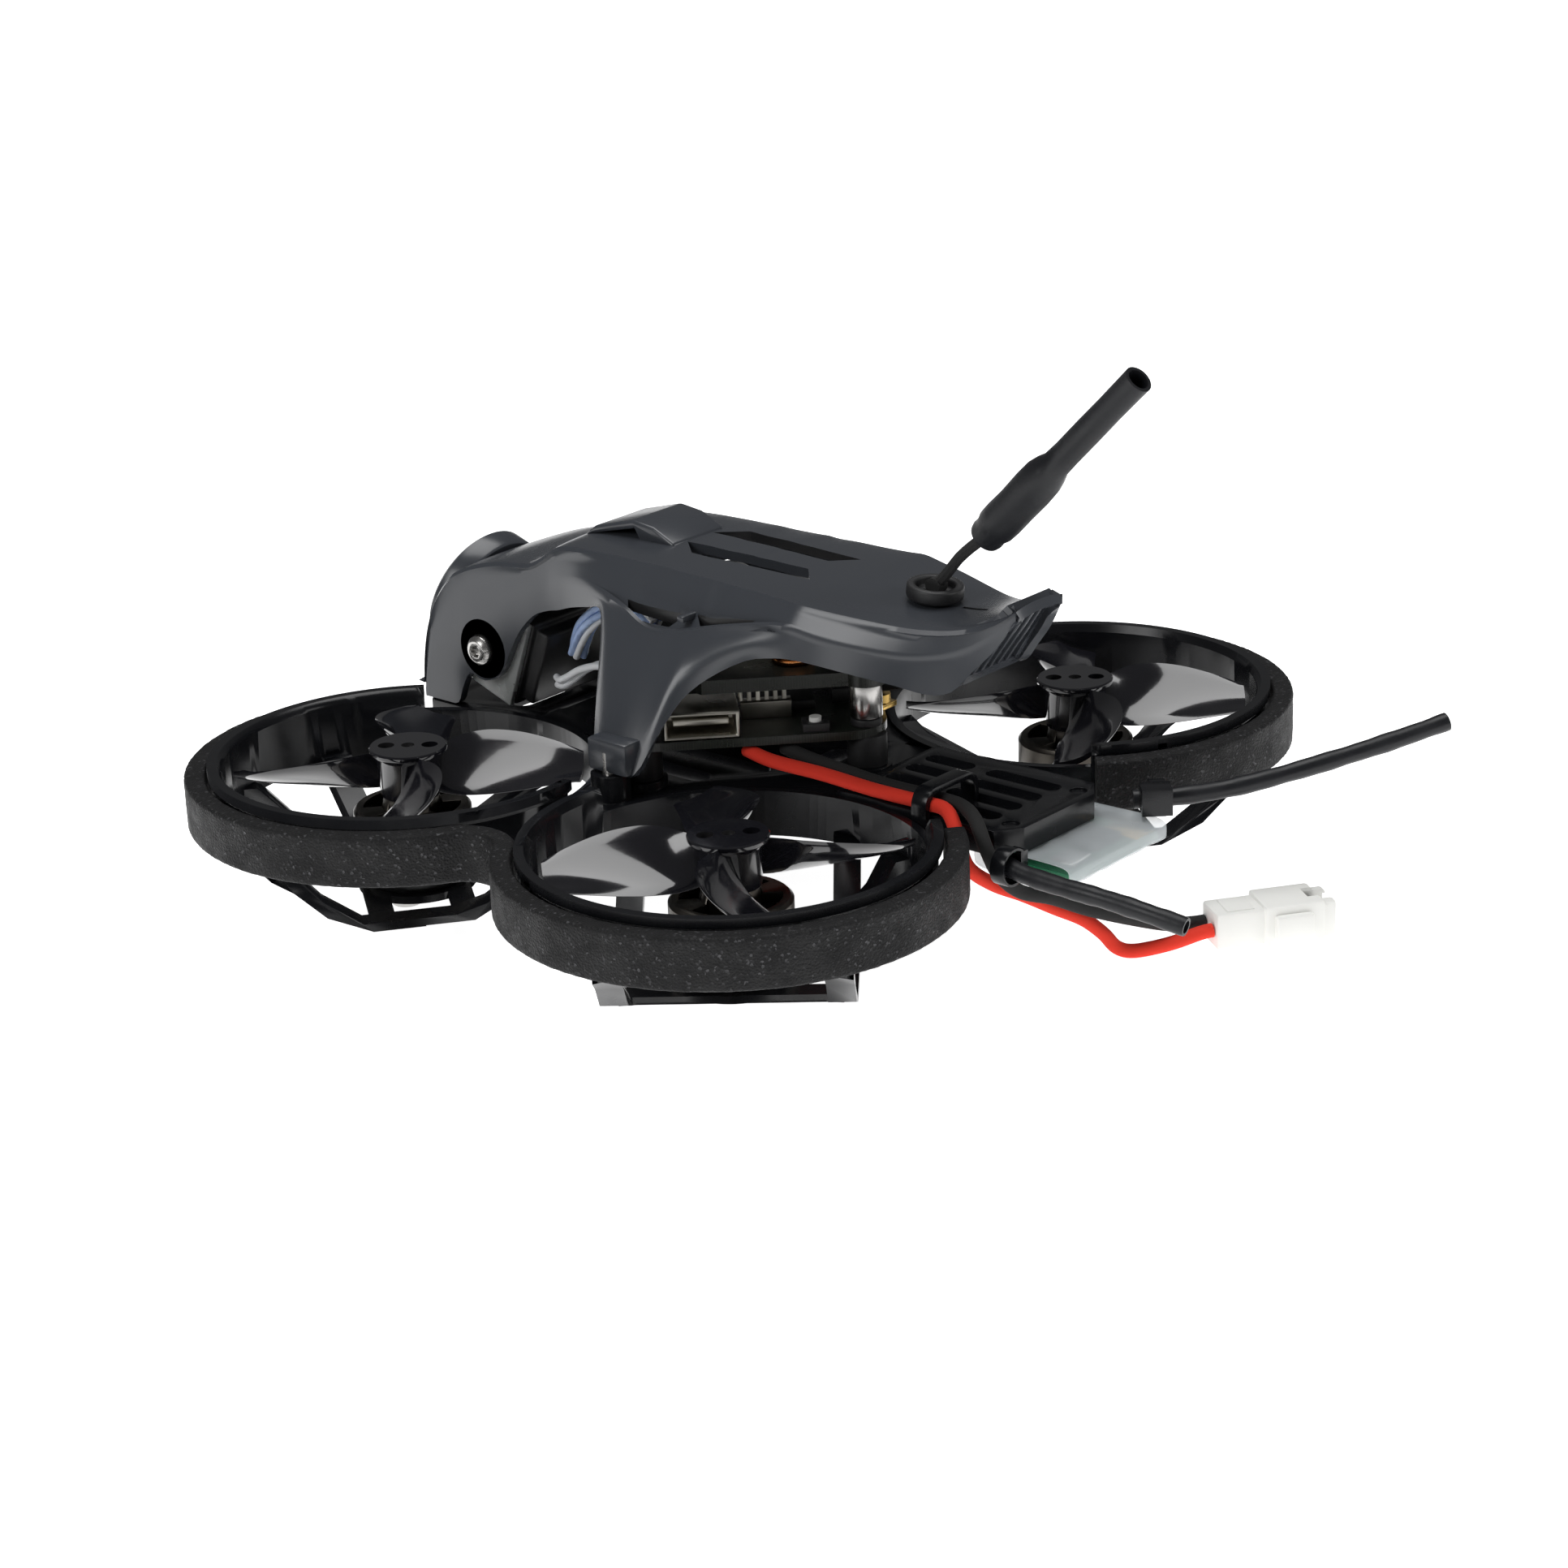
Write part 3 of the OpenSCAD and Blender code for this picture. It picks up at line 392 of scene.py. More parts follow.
CLEAR_SLEEVE = Finish(
    "clear_sleeve", (0.42, 0.47, 0.52), (0.62, 0.66, 0.70), 0.16, 0.08, grain=1.2,
    depth=0.06, settings=(("Alpha", 0.16), ("Coat Weight", 0.6)))
RECEIVER_MASK = Finish(
    "receiver_mask", (0.006, 0.10, 0.045), (0.012, 0.16, 0.07), 0.32, 0.08, grain=0.8,
    depth=0.01, pattern=Pattern.CIRCUIT)
SMOKY_PLATE = Finish(
    "smoky_plate", (0.42, 0.44, 0.43), (0.52, 0.54, 0.53), 0.30, 0.06, grain=0.5,
    depth=0.006, settings=(("Transmission Weight", 0.45),))
LENS_COAT = Finish(
    "lens_coat", (0.010, 0.014, 0.035), (0.020, 0.012, 0.040), 0.05, 0.02, grain=5,
    depth=0.0002, settings=(("Coat Weight", 1.0), ("Coat Roughness", 0.02)))
BLUE_WIRE = Finish(
    "blue_wire", (0.28, 0.42, 0.78), (0.55, 0.68, 0.92), 0.40, 0.06, grain=0.5, depth=0.05,
    pattern=Pattern.BRAID)
WHITE_WIRE = Finish(
    "white_wire", (0.70, 0.72, 0.74), (0.80, 0.81, 0.83), 0.45, 0.06, grain=0.4, depth=0.01)


# ---- Mesh tools ----


def mesh_object(name: str, points: Sequence[Vector], faces: Sequence[Sequence[int]],
                finish: Finish) -> bpy.types.Object:
    """A linked mesh object with one material.

    Args:
        name: The piece's name.
        points: Its vertices.
        faces: Its faces, as vertex numbers.
        finish: Its finish.

    Returns:
        The object.
    """
    mesh = bpy.data.meshes.new(name)
    mesh.from_pydata([tuple(p) for p in points], [], [tuple(f) for f in faces])
    mesh.materials.append(finish.material())
    made = bpy.data.objects.new(name, mesh)
    bpy.context.scene.collection.objects.link(made)
    return made


def loft(name: str, rings: Sequence[Sequence[Vector]], finish: Finish,
         capped: bool = True) -> bpy.types.Object:
    """A skin over rings that all have as many points.

    Args:
        name: The object's name.
        rings: The rings, in order.
        finish: Its finish.
        capped: True closes the two ends.

    Returns:
        The object.
    """
    n, last = len(rings[0]), len(rings) - 1
    faces = [(i * n + k, i * n + (k + 1) % n, (i + 1) * n + (k + 1) % n, (i + 1) * n + k)
             for i in range(last) for k in range(n)]
    if capped:
        faces += [tuple(reversed(range(n))), tuple(last * n + k for k in range(n))]
    return mesh_object(name, [point for ring in rings for point in ring], faces, finish)


def tidy(obj: bpy.types.Object, merge: float = 1e-6) -> None:
    """Merges doubles and turns all faces outwards.

    Args:
        obj: The mesh object.
        merge: Points nearer than this become one, in metres.
    """
    work = bmesh.new()
    work.from_mesh(obj.data)
    bmesh.ops.remove_doubles(work, verts=work.verts, dist=merge)
    bmesh.ops.recalc_face_normals(work, faces=work.faces)
    work.to_mesh(obj.data)
    work.free()


def smooth(obj: bpy.types.Object, degrees: float = 35) -> None:
    """Shades smooth, with edges sharper than an angle kept sharp."""
    obj.data.shade_smooth()
    obj.data.set_sharp_from_angle(angle=math.radians(degrees))


def apply_modifiers(obj: bpy.types.Object) -> None:
    """Turns an object's modifiers into its mesh.

    Args:
        obj: The object.
    """
    bpy.context.view_layer.update()
    seen = obj.evaluated_get(bpy.context.evaluated_depsgraph_get())
    made = bpy.data.meshes.new_from_object(seen)
    old = obj.data
    obj.modifiers.clear()
    obj.data = made
    bpy.data.meshes.remove(old)
    made.name = obj.name


def add_bevel(obj: bpy.types.Object, width: float, segments: int = 2,
              degrees: float = 32) -> None:
    """Rounds the sharp edges of a mesh and applies the result.

    Args:
        obj: The mesh object.
        width: Width of the rounded edges, in millimetres.
        segments: Steps round each edge.
        degrees: Edges sharper than this are rounded.
    """
    bevel = obj.modifiers.new("bevel", "BEVEL")
    bevel.width = width * MM
    bevel.segments = segments
    bevel.limit_method = "ANGLE"
    bevel.angle_limit = math.radians(degrees)
    bevel.use_clamp_overlap = True
    bevel.harden_normals = False
    apply_modifiers(obj)


def cut(obj: bpy.types.Object, cutters: Iterable[bpy.types.Object]) -> None:
    """Takes solid cutters out of a closed mesh and removes them.

    Args:
        obj: The mesh object.
        cutters: The cutters. They are used up.
    """
    for tool in list(cutters):
        step = obj.modifiers.new("cut", "BOOLEAN")
        step.operation, step.solver, step.object = "DIFFERENCE", "MANIFOLD", tool
        apply_modifiers(obj)
        bpy.data.objects.remove(tool)


def joined(name: str, objects: Sequence[bpy.types.Object]) -> bpy.types.Object:
    """One object from several, with each part's materials kept.

    Args:
        name: Name of the result.
        objects: What to join. They are used up.

    Returns:
        The joined object.
    """
    work = bmesh.new()
    materials: list[bpy.types.Material] = []
    for part in objects:
        slots = []
        for material in part.data.materials:
            if material not in materials:
                materials.append(material)
            slots.append(materials.index(material))
        start = len(work.faces)
        work.from_mesh(part.data)
        work.faces.ensure_lookup_table()
        for face in work.faces[start:]:
            face.material_index = slots[min(face.material_index, len(slots) - 1)]
    mesh = bpy.data.meshes.new(name)
    work.to_mesh(mesh)
    work.free()
    for material in materials:
        mesh.materials.append(material)
    for part in objects:
        bpy.data.objects.remove(part)
    made = bpy.data.objects.new(name, mesh)
    bpy.context.scene.collection.objects.link(made)
    return made


def prism(name: str, outline: Sequence[tuple[float, float]], low: float, high: float,
          finish: Finish, place: Matrix | None = None) -> bpy.types.Object:
    """A flat outline raised from low to high along local Z, in millimetres, then placed.

    Args:
        name: The object's name.
        outline: Corners, anticlockwise.
        low: Height of its underside.
        high: Height of its top.
        finish: Its finish.
        place: Where it goes, in metres.

    Returns:
        The object.
    """
    made = loft(name, [[mm(x, y, z) for x, y in outline] for z in (low, high)], finish)
    if place is not None:
        made.data.transform(place)
    tidy(made)
    return made


def lathe(name: str, profile: Sequence[tuple[float, float]], finish: Finish,
          place: Matrix | None = None, steps: int = 48) -> bpy.types.Object:
    """A closed profile of radius and height, in millimetres, turned round local Z.

    Args:
        name: The object's name.
        profile: Corners of the half section. A radius of 0 makes a pole.
        finish: Its finish.
        place: Where it goes, in metres.
        steps: Number of sides.

    Returns:
        The object.
    """
    rings = []
    for k in range(steps + 1):
        a = math.tau * (k % steps) / steps
        rings.append([mm(r * math.cos(a), r * math.sin(a), z) for r, z in profile])
    made = loft(name, rings, finish, capped=False)
    work = bmesh.new()
    work.from_mesh(made.data)
    bmesh.ops.remove_doubles(work, verts=work.verts, dist=1e-7)
    flat = [f for f in work.faces if f.calc_area() < 1e-13]
    bmesh.ops.delete(work, geom=flat, context="FACES_ONLY")
    bmesh.ops.delete(work, geom=[e for e in work.edges if not e.link_faces], context="EDGES")
    bmesh.ops.recalc_face_normals(work, faces=work.faces)
    work.to_mesh(made.data)
    work.free()
    if place is not None:
        made.data.transform(place)
    return made


def block(name: str, one: Point, other: Point, finish: Finish, place: Matrix | None = None,
          soft: float = 0.15) -> bpy.types.Object:
    """A box between two opposite corners, in millimetres, with rounded edges.

    Args:
        name: The object's name.
        one: One corner.
        other: The corner opposite.
        finish: Its finish.
        place: Where it goes, in metres.
        soft: Width of its rounded edges, in millimetres.

    Returns:
        The object.
    """
    (x0, x1), (y0, y1), (z0, z1) = (sorted(pair) for pair in zip(one, other))
    made = prism(name, [(x0, y0), (x1, y0), (x1, y1), (x0, y1)], z0, z1, finish, place)
    add_bevel(made, soft)
    smooth(made)
    return made


def spline(points: Sequence[Sequence[float]], steps: int) -> list[Vector]:
    """Catmull-Rom points through a route.

    Args:
        points: The route.
        steps: Points for each stretch of it.

    Returns:
        The points, the route's ends among them.
    """
    route = [Vector(p) for p in points]
    line = []
    last = len(route) - 1
    for i in range(last):
        a, b, c, d = route[max(i - 1, 0)], route[i], route[i + 1], route[min(i + 2, last)]
        for k in range(steps):
            t = k / steps
            line.append(0.5 * (2 * b + (c - a) * t + (2 * a - 5 * b + 4 * c - d) * t * t
                               + (3 * b - a - 3 * c + d) * t ** 3))
    line.append(route[last])
    return line


def tube(name: str, line: Sequence[Vector], radius: Callable[[float], float], finish: Finish,
         sides: int = 16) -> bpy.types.Object:
    """A closed round tube along a line, its radius a function of the share of its length.

    Args:
        name: The object's name.
        line: Its middle line, in metres.
        radius: Radius in metres for a share from 0 to 1.
        finish: Its finish.
        sides: Number of sides.

    Returns:
        The object.
    """
    rings = []
    side = None
    last = len(line) - 1
    for i, here in enumerate(line):
        ahead = (line[min(i + 1, last)] - line[max(i - 1, 0)]).normalized()
        if side is None:
            side = ahead.cross(Vector((0, 0, 1)))
            side = side.normalized() if side.length > 0.1 else Vector((1, 0, 0))
        side = (side - ahead * side.dot(ahead)).normalized()
        up = side.cross(ahead)
        r = radius(i / last)
        angles = [math.tau * k / sides for k in range(sides)]
        rings.append([here + r * (math.cos(a) * side + math.sin(a) * up) for a in angles])
    made = loft(name, rings, finish)
    tidy(made, 1e-9)
    smooth(made, 50)
    return made


def rounded_copy(node: str, finish: Finish, name: str, width: float) -> bpy.types.Object:
    """A copy of a CAD node with its edges rounded and its curves shaded smooth.

    Args:
        node: The CAD node.
        finish: The copy's finish.
        name: The copy's name.
        width: Width of the rounded edges, in millimetres.

    Returns:
        The copy.
    """
    mesh = frame["nodes"][node].data.copy()
    mesh.materials.clear()
    mesh.materials.append(finish.material())
    made = bpy.data.objects.new(name, mesh)
    bpy.context.scene.collection.objects.link(made)
    work = bmesh.new()
    work.from_mesh(mesh)
    bmesh.ops.remove_doubles(work, verts=work.verts, dist=2e-6)
    bmesh.ops.dissolve_limit(work, angle_limit=math.radians(1.2), verts=work.verts,
                             edges=work.edges)
    work.to_mesh(mesh)
    work.free()
    add_bevel(made, width, degrees=30)
    smooth(made, 42)
    return made


# ---- Geometry Nodes ----


class PatternTree:
    """Geometry Nodes that repeat the object's own mesh round a ring or along a row."""

    def __init__(self, name: str) -> None:
        """Makes the tree with its named inputs.

        Args:
            name: The tree's name.
        """
        self.tree = bpy.data.node_groups.new(name, "GeometryNodeTree")
        face = self.tree.interface
        self.ids: dict[str, str] = {}
        face.new_socket("Geometry", in_out="INPUT", socket_type="NodeSocketGeometry")
        for label, kind in (("Count", "Int"), ("Radius", "Float"), 
                            ("Start", "Vector"), ("Step", "Vector"), ("Finish", "Material")):
            made = face.new_socket(label, in_out="INPUT", socket_type=f"NodeSocket{kind}")
            self.ids[label] = made.identifier
        face.new_socket("Geometry", in_out="OUTPUT", socket_type="NodeSocketGeometry")
        graph = Graph(self.tree)
        asked = graph.add("NodeGroupInput").outputs
        index = graph.add("GeometryNodeInputIndex").outputs[0]
        share = graph.math("DIVIDE", math.tau, asked["Count"])
        angle = graph.math("MULTIPLY", index, share)
        in_row = graph.math("COMPARE", asked["Radius"], 0.0, 1e-9)
        turned = graph.math("MULTIPLY", angle, graph.math("SUBTRACT", 1.0, in_row))
        ring = graph.add(
            "ShaderNodeCombineXYZ",
            X=graph.math("MULTIPLY", graph.math("COSINE", turned), asked["Radius"]),
            Y=graph.math("MULTIPLY", graph.math("SINE", turned), asked["Radius"]))
        row = graph.add("ShaderNodeVectorMath")
        row.operation = "SCALE"
        graph.link(asked["Step"], row.inputs[0])
        graph.link(index, row.inputs["Scale"])
        place = graph.total(graph.total(ring.outputs[0], row.outputs[0]), asked["Start"])
        line = graph.add("GeometryNodeMeshLine", Count=asked["Count"])
        points = graph.add("GeometryNodeSetPosition", Geometry=line.outputs[0], Position=place)
        facing = graph.add("ShaderNodeCombineXYZ", Z=turned)
        copies = graph.add("GeometryNodeInstanceOnPoints", Points=points.outputs[0],
                           Instance=asked["Geometry"], Rotation=facing.outputs[0])
        real = graph.add("GeometryNodeRealizeInstances", Geometry=copies.outputs[0])
        dressed = graph.add("GeometryNodeSetMaterial", Geometry=real.outputs[0],
                            Material=asked["Finish"])
        graph.add("NodeGroupOutput", Geometry=dressed.outputs[0])

    def apply(self, obj: bpy.types.Object, count: int, finish: Finish, radius: float = 0.0,
              start: Point = (0, 0, 0), step: Point = (0, 0, 0)) -> bpy.types.Object:
        """Repeats an object's mesh and turns the result into its mesh.

        Args:
            obj: The object to repeat.
            count: Number of copies.
            finish: Their finish.
            radius: Radius of the ring in millimetres, or 0 for a row.
            start: Middle of the ring or place of the first copy, in millimetres.
            step: From one copy of a row to the next, in millimetres.

        Returns:
            The object.
        """
        change = obj.modifiers.new("pattern", "NODES")
        change.node_group = self.tree
        change[self.ids["Count"]] = count
        change[self.ids["Radius"]] = radius * MM
        change[self.ids["Start"]] = [v * MM for v in start]
        change[self.ids["Step"]] = [v * MM for v in step]
        change[self.ids["Finish"]] = finish.material()
        apply_modifiers(obj)
        smooth(obj, 40)
        return obj


PATTERN = PatternTree("repeat_pattern")


# ---- The drone's measures ----


@dataclass(frozen=True)
class Layout:
    """Places that several sub-assemblies share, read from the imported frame."""

    motors: dict[str, Vector] = field(default_factory=dict)
    ground: float = 0.0

    @staticmethod
    def read() -> "Layout":
        """Reads the motors' places from the joints and the ground from the box.

        Returns:
            The layout.
        """
        motors = {}
        for joint in frame["joints"]:
            if joint["name"].startswith("rotor_"):
                motors[joint["child"].removeprefix("rotor_")] = Vector(joint["pos_m"])
        return Layout(motors, min(CAD_BOX[0][2], CAD_BOX[1][2]))


@dataclass
class Part:
    """What every sub-assembly does with its finished pieces."""

    layout: Layout

    def keep(self, piece: bpy.types.Object, body: str, slot: str, *nodes: str) -> bpy.types.Object:
        """Puts a finished piece on its body, in place of CAD nodes.

        Args:
            piece: The piece.
            body: The CAD body that it moves with.
            slot: The record's material slot; not used.
            *nodes: The CAD nodes that it stands for.

        Returns:
            The piece.
        """
        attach(piece, body)
        if nodes:
            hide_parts(*nodes)
        LOG.info("%s: %d faces on %s", piece.name, len(piece.data.polygons), body)
        return piece

    def dress(self, node: str, finish: Finish) -> None:
        """Gives a CAD node that stays its finish.

        Args:
            node: The node.
            finish: The finish.
        """
        mesh = frame["nodes"][node].data
        mesh.materials.clear()
        mesh.materials.append(finish.material())


@dataclass
class Studio:
    """Camera, floor and light."""

    lens: float = 86.01
    azimuth: float = 221.10
    elevation: float = 20.29
    roll: float = -2.216
    eye: Point = (-0.2733, 0.3072, 0.1487)
    floor_half: float = 6.0
    floor_glow: float = 0.94
    surround: float = 0.10
    lamps: tuple[tuple[str, Point, float, float], ...] = (
        ("top", (0.05, -0.1, 0.7), 0.5, 3.4), ("left", (0.1, 0.7, 0.45), 0.35, 2.2),
        ("tail", (-0.75, -0.35, 0.4), 0.3, 1.6))

    def camera(self) -> None:
        """Makes the camera."""
        a, e, r = (math.radians(v) for v in (self.azimuth, self.elevation, self.roll))
        back = Vector((math.sin(a) * math.cos(e), -math.cos(a) * math.cos(e), math.sin(e)))
        right = Vector((math.cos(a), math.sin(a), 0))
        up = back.cross(right)
        side = math.cos(r) * right + math.sin(r) * up
        top = -math.sin(r) * right + math.cos(r) * up
        data = bpy.data.cameras.new("camera")
        data.lens, data.sensor_width = self.lens, 36.0
        data.clip_start, data.clip_end = 0.01, 50.0
        made = bpy.data.objects.new("camera", data)
        bpy.context.scene.collection.objects.link(made)
        turn = Matrix((side, top, back)).transposed().to_4x4()
        made.matrix_world = Matrix.Translation(Vector(self.eye)) @ turn
        bpy.context.scene.camera = made

    def floor(self, height: float) -> None:
        """Makes the floor, seen from above only.

        Args:
            height: Where it lies, in metres.
        """
        paper = bpy.data.materials.new("paper")
        paper.use_nodes = True
        graph = Graph(paper.node_tree)
        shader = paper.node_tree.nodes["Principled BSDF"]
        here = graph.add("ShaderNodeTexCoord").outputs["Object"]
        fibre = graph.noise(here, 60, 4)
        colour = graph.mix(fibre, (0.93, 0.93, 0.93), (0.95, 0.95, 0.95))
        graph.link(colour, shader.inputs["Base Color"])
        shader.inputs["Roughness"].default_value = 0.75
        shader.inputs["Emission Color"].default_value = (1, 1, 1, 1)
        shader.inputs["Emission Strength"].default_value = self.floor_glow
        clear = graph.add("ShaderNodeBsdfTransparent")
        under = graph.add("ShaderNodeNewGeometry").outputs["Backfacing"]
        sides = graph.add("ShaderNodeMixShader", Fac=under)
        graph.link(shader.outputs["BSDF"], sides.inputs[1])
        graph.link(clear.outputs["BSDF"], sides.inputs[2])
        surface = paper.node_tree.nodes["Material Output"].inputs["Surface"]
        graph.link(sides.outputs["Shader"], surface)
        mesh = bpy.data.meshes.new("floor")
        corners = ((-1, -1), (1, -1), (1, 1), (-1, 1))
        mesh.from_pydata([(x * self.floor_half, y * self.floor_half, height) for x, y in corners],
                         [], [(0, 1, 2, 3)])
        mesh.materials.append(paper)
        made = bpy.data.objects.new("floor", mesh)
        bpy.context.scene.collection.objects.link(made)

    def lights(self) -> None:
        """Makes the soft lights and the pale surround."""
        world = bpy.data.worlds.new("surround")
        world.use_nodes = True
        sky = world.node_tree.nodes["Background"]
        sky.inputs["Color"].default_value = (1, 1, 1, 1)
        sky.inputs["Strength"].default_value = self.surround
        bpy.context.scene.world = world
        for name, at, size, power in self.lamps:
            data = bpy.data.lights.new(name, "AREA")
            data.shape, data.size, data.energy = "SQUARE", size, power
            lamp = bpy.data.objects.new(name, data)
            bpy.context.scene.collection.objects.link(lamp)
            lamp.location = at
            lamp.rotation_euler = (Vector(at) - mm(0, 0, 5)).to_track_quat("Z", "Y").to_euler()
        bpy.context.scene.view_settings.view_transform = "Standard"


# ---- Battery lead ----


@dataclass
class BatteryLead(Part):
    """The two leads and the plug that hang from the tail."""

    radius: float = 0.8
    red: tuple[Point, ...] = (
        (-9, 10.4, 6.1), (-13, 10.6, 5.6), (-19, 9, 4.8), (-26, 8.6, 4.3), (-33, 8.6, 4.3),
        (-36.5, 9.1, 4.3), (-39.4, 11, 2.8), (-41, 11.4, -0.4), (-42.5, 9, -2.9),
        (-44.4, 5.9, -4.8),
        (-46.4, 3, -6.8), (-48.4, 0.5, -8.5), (-49.8, -1.2, -10.4), (-50.9, -2.3, -12.2),
        (-52.4, -3.6, -12.7), (-55, -6.4, -12.2), (-57.1, -9.2, -11.4), (-57.99, -10.4, -11.2))
    black: tuple[Point, ...] = (
        (-12, 7.4, 6.1), (-15, 7.4, 5.6), (-20, 6.8, 4.8), (-26, 6.6, 4.3), (-33, 6.6, 4.3),
        (-37, 7.2, 4.4), (-40.6, 9.4, 4.3), (-43, 10.6, 1.8), (-44.2, 9.9, -1.2),
        (-45.4, 7.7, -3.6), (-47.2, 4.4, -5), (-49.6, 1.2, -6.8), (-52.2, -2.6, -8.5),
        (-54.4, -7, -10.2), (-55.2, -10.6, -11.1), (-55.84, -11.96, -11.2))
    plug_at: Point = (-57, -11.3, -11.2)
    heading: float = -126

    def build(self) -> None:
        place = placed(self.plug_at, self.heading)
        plug = self.plug(place)
        pins = self.pins(place)
        for colour, route, finish, end in (("red", self.red, LEAD_RED, plug),
                                           ("black", self.black, LEAD_BLACK, pins)):
            line = spline([mm(*p) for p in route], 6)
            made = tube(f"battery_lead_{colour}_cord", line, lambda t: self.radius * MM, finish, 20)
            self.keep(made, "airframe", f"lead_{colour}", f"battery_lead_{colour}")

    def plug(self, place: Matrix) -> bpy.types.Object:
        """The plug's white body, with its latch tabs and open mouth.

        Args:
            place: Where the leads enter it.

        Returns:
            The body.
        """
        parts = [
            block("plug_rear", (0, -2.5, -2.1), (14, 2.5, 2.1), NYLON_WHITE, soft=0.35),
            block("plug_front", (5.5, -3, -2.5), (12.5, 3, 2.5), NYLON_WHITE, soft=0.4)]
        for body in parts:
            mouth = prism("mouth", [(9, -2), (15, -2), (15, 2), (9, 2)], -1.6, 1.6, NYLON_WHITE)
            notch = prism("notch", [(11, -1.2), (15, -1.2), (15, 1.2), (11, 1.2)], -4, 4,
                          NYLON_WHITE)
            cut(body, [mouth, notch])
        for s in (-1, 1):
            parts.append(block("tab", (6.5, s * 2.8, -1.5), (10.9, s * 4, 1.5), NYLON_WHITE,
                               soft=0.35))
            parts.append(block("step", (1.4, -1.9, s * 2.1 - 0.15), (4.6, 1.9, s * 2.1 + 0.15),
                               NYLON_WHITE, soft=0.12))
        made = joined("battery_plug_body", parts)
        made.data.transform(place)
        smooth(made, 30)
        return self.keep(made, "airframe", "nylon_white", "battery_plug")

    def pins(self, place: Matrix) -> bpy.types.Object:
        """The two pins inside the plug's mouth.

        Args:
            place: Where the leads enter the plug.

        Returns:
            The pins.
        """
        pin = block("pin", (9, -0.4, -0.4), (13.2, 0.4, 0.4), NICKEL, soft=0.12)
        made = PATTERN.apply(pin, 2, NICKEL, start=(0, -1.1, 0), step=(0, 2.2, 0))
        made.name = "battery_plug_contacts"
        made.data.transform(place)
        return self.keep(made, "airframe", "steel", "battery_plug_pins")


# ---- Frame ----


@dataclass
class FrameMoulding(Part):
    """The centre frame and the four ducts."""

    edge: float = 0.22

    def build(self) -> None:
        """Rounds the moulding's edges."""
        for corner in self.layout.motors:
            made = rounded_copy(f"duct_{corner}", SATIN_FRAME, f"duct_shell_{corner}", self.edge)
            self.keep(made, "airframe", "moulded_black", f"duct_{corner}")
        made = rounded_copy("centre_frame", SATIN_FRAME, "centre_moulding", self.edge)
        self.keep(made, "airframe", "moulded_black", "centre_frame")


# ---- Foam ----


@dataclass
class FoamBumpers(Part):
    """The foam strips round the ducts, one for each side."""

    inner: float = 23.1
    thick: float = 2.5
    low: float = -1.5
    high: float = 4.5
    valley: float = 4.0
    end: float = 18.2
    corner: float = 0.45
    rough: float = 0.06
    step: float = 0.5

    def outline(self) -> list[tuple[Vector, Vector]]:
        """Middle line of the left strip.

        Returns:
            Its points, each with the direction outwards.
        """
        motor = self.layout.motors["front_left"] / MM
        mid = self.inner + self.thick / 2
        fillet = self.valley + self.thick / 2
        dip = motor.y + math.sqrt((mid + fillet) ** 2 - motor.x ** 2)
        lean = math.atan2(dip - motor.y, motor.x)
        start, end = -math.asin(self.end / mid), math.pi - lean
        sweep = math.pi - 2 * lean
        round_duct, between = self.count(mid * (end - start)), self.count(fillet * sweep)
        front, valley = [], []
        for k in range(round_duct + 1):
            a = start + (end - start) * k / round_duct
            out = Vector((math.cos(a), math.sin(a)))
            front.append((motor.xy + mid * out, out))
        for k in range(1, between):
            a = -lean - sweep * k / between
            out = Vector((math.cos(a), math.sin(a)))
            valley.append((Vector((0, dip)) + fillet * out, -out))
        rear = [(Vector((-p.x, p.y)), Vector((-d.x, d.y))) for p, d in reversed(front)]
        return front + valley + rear

    def count(self, length: float) -> int:
        """Number of steps along a length."""
        return max(2, round(length / self.step))

    def build(self) -> None:
        """Sweeps the rounded section along each strip and roughens its skin."""
        left = self.outline()
        section = self.section()
        for side, sign, seed in (("left", 1, 11), ("right", -1, 12)):
            rings = [[mm((at + out * u).x, (at + out * u).y * sign, z) for u, z in section]
                     for at, out in left]
            made = loft(f"foam_strip_{side}", rings, FOAM_BLACK_GLINTS_PAINTED)
            tidy(made)
            self.roughen(made, seed)
            smooth(made, 70)
            self.keep(made, "airframe", "foam", f"foam_bumper_{side}")

    def section(self) -> list[tuple[float, float]]:
        """Section of the strip with softly rounded edges.

        Returns:
            Its corners: distance outwards and height.
        """
        half, r, points = self.thick / 2, self.corner, []
        for cx, cz, first in ((half - r, self.high - r, 0), (-half + r, self.high - r, 90),
                              (-half + r, self.low + r, 180), (half - r, self.low + r, 270)):
            for a in (math.radians(first + 30 * k) for k in range(4)):
                points.append((cx + r * math.cos(a), cz + r * math.sin(a)))
        full = []
        for (x0, z0), (x1, z1) in zip(points, points[1:] + points[:1]):
            n = max(1, round(math.hypot(x1 - x0, z1 - z0) / self.step))
            full += [(x0 + (x1 - x0) * k / n, z0 + (z1 - z0) * k / n) for k in range(n)]
        return full

    def roughen(self, obj: bpy.types.Object, seed: int) -> None:
        """Pushes the skin in by a random trace, as cut foam is.

        Args:
            obj: The strip.
            seed: Seed of the random draws.
        """
        rng = random.Random(seed)
        outward = [v.normal.copy() for v in obj.data.vertices]
        for v, normal in zip(obj.data.vertices, outward):
            v.co -= normal * rng.uniform(0.0, self.rough) * MM


# ---- Canopy ----


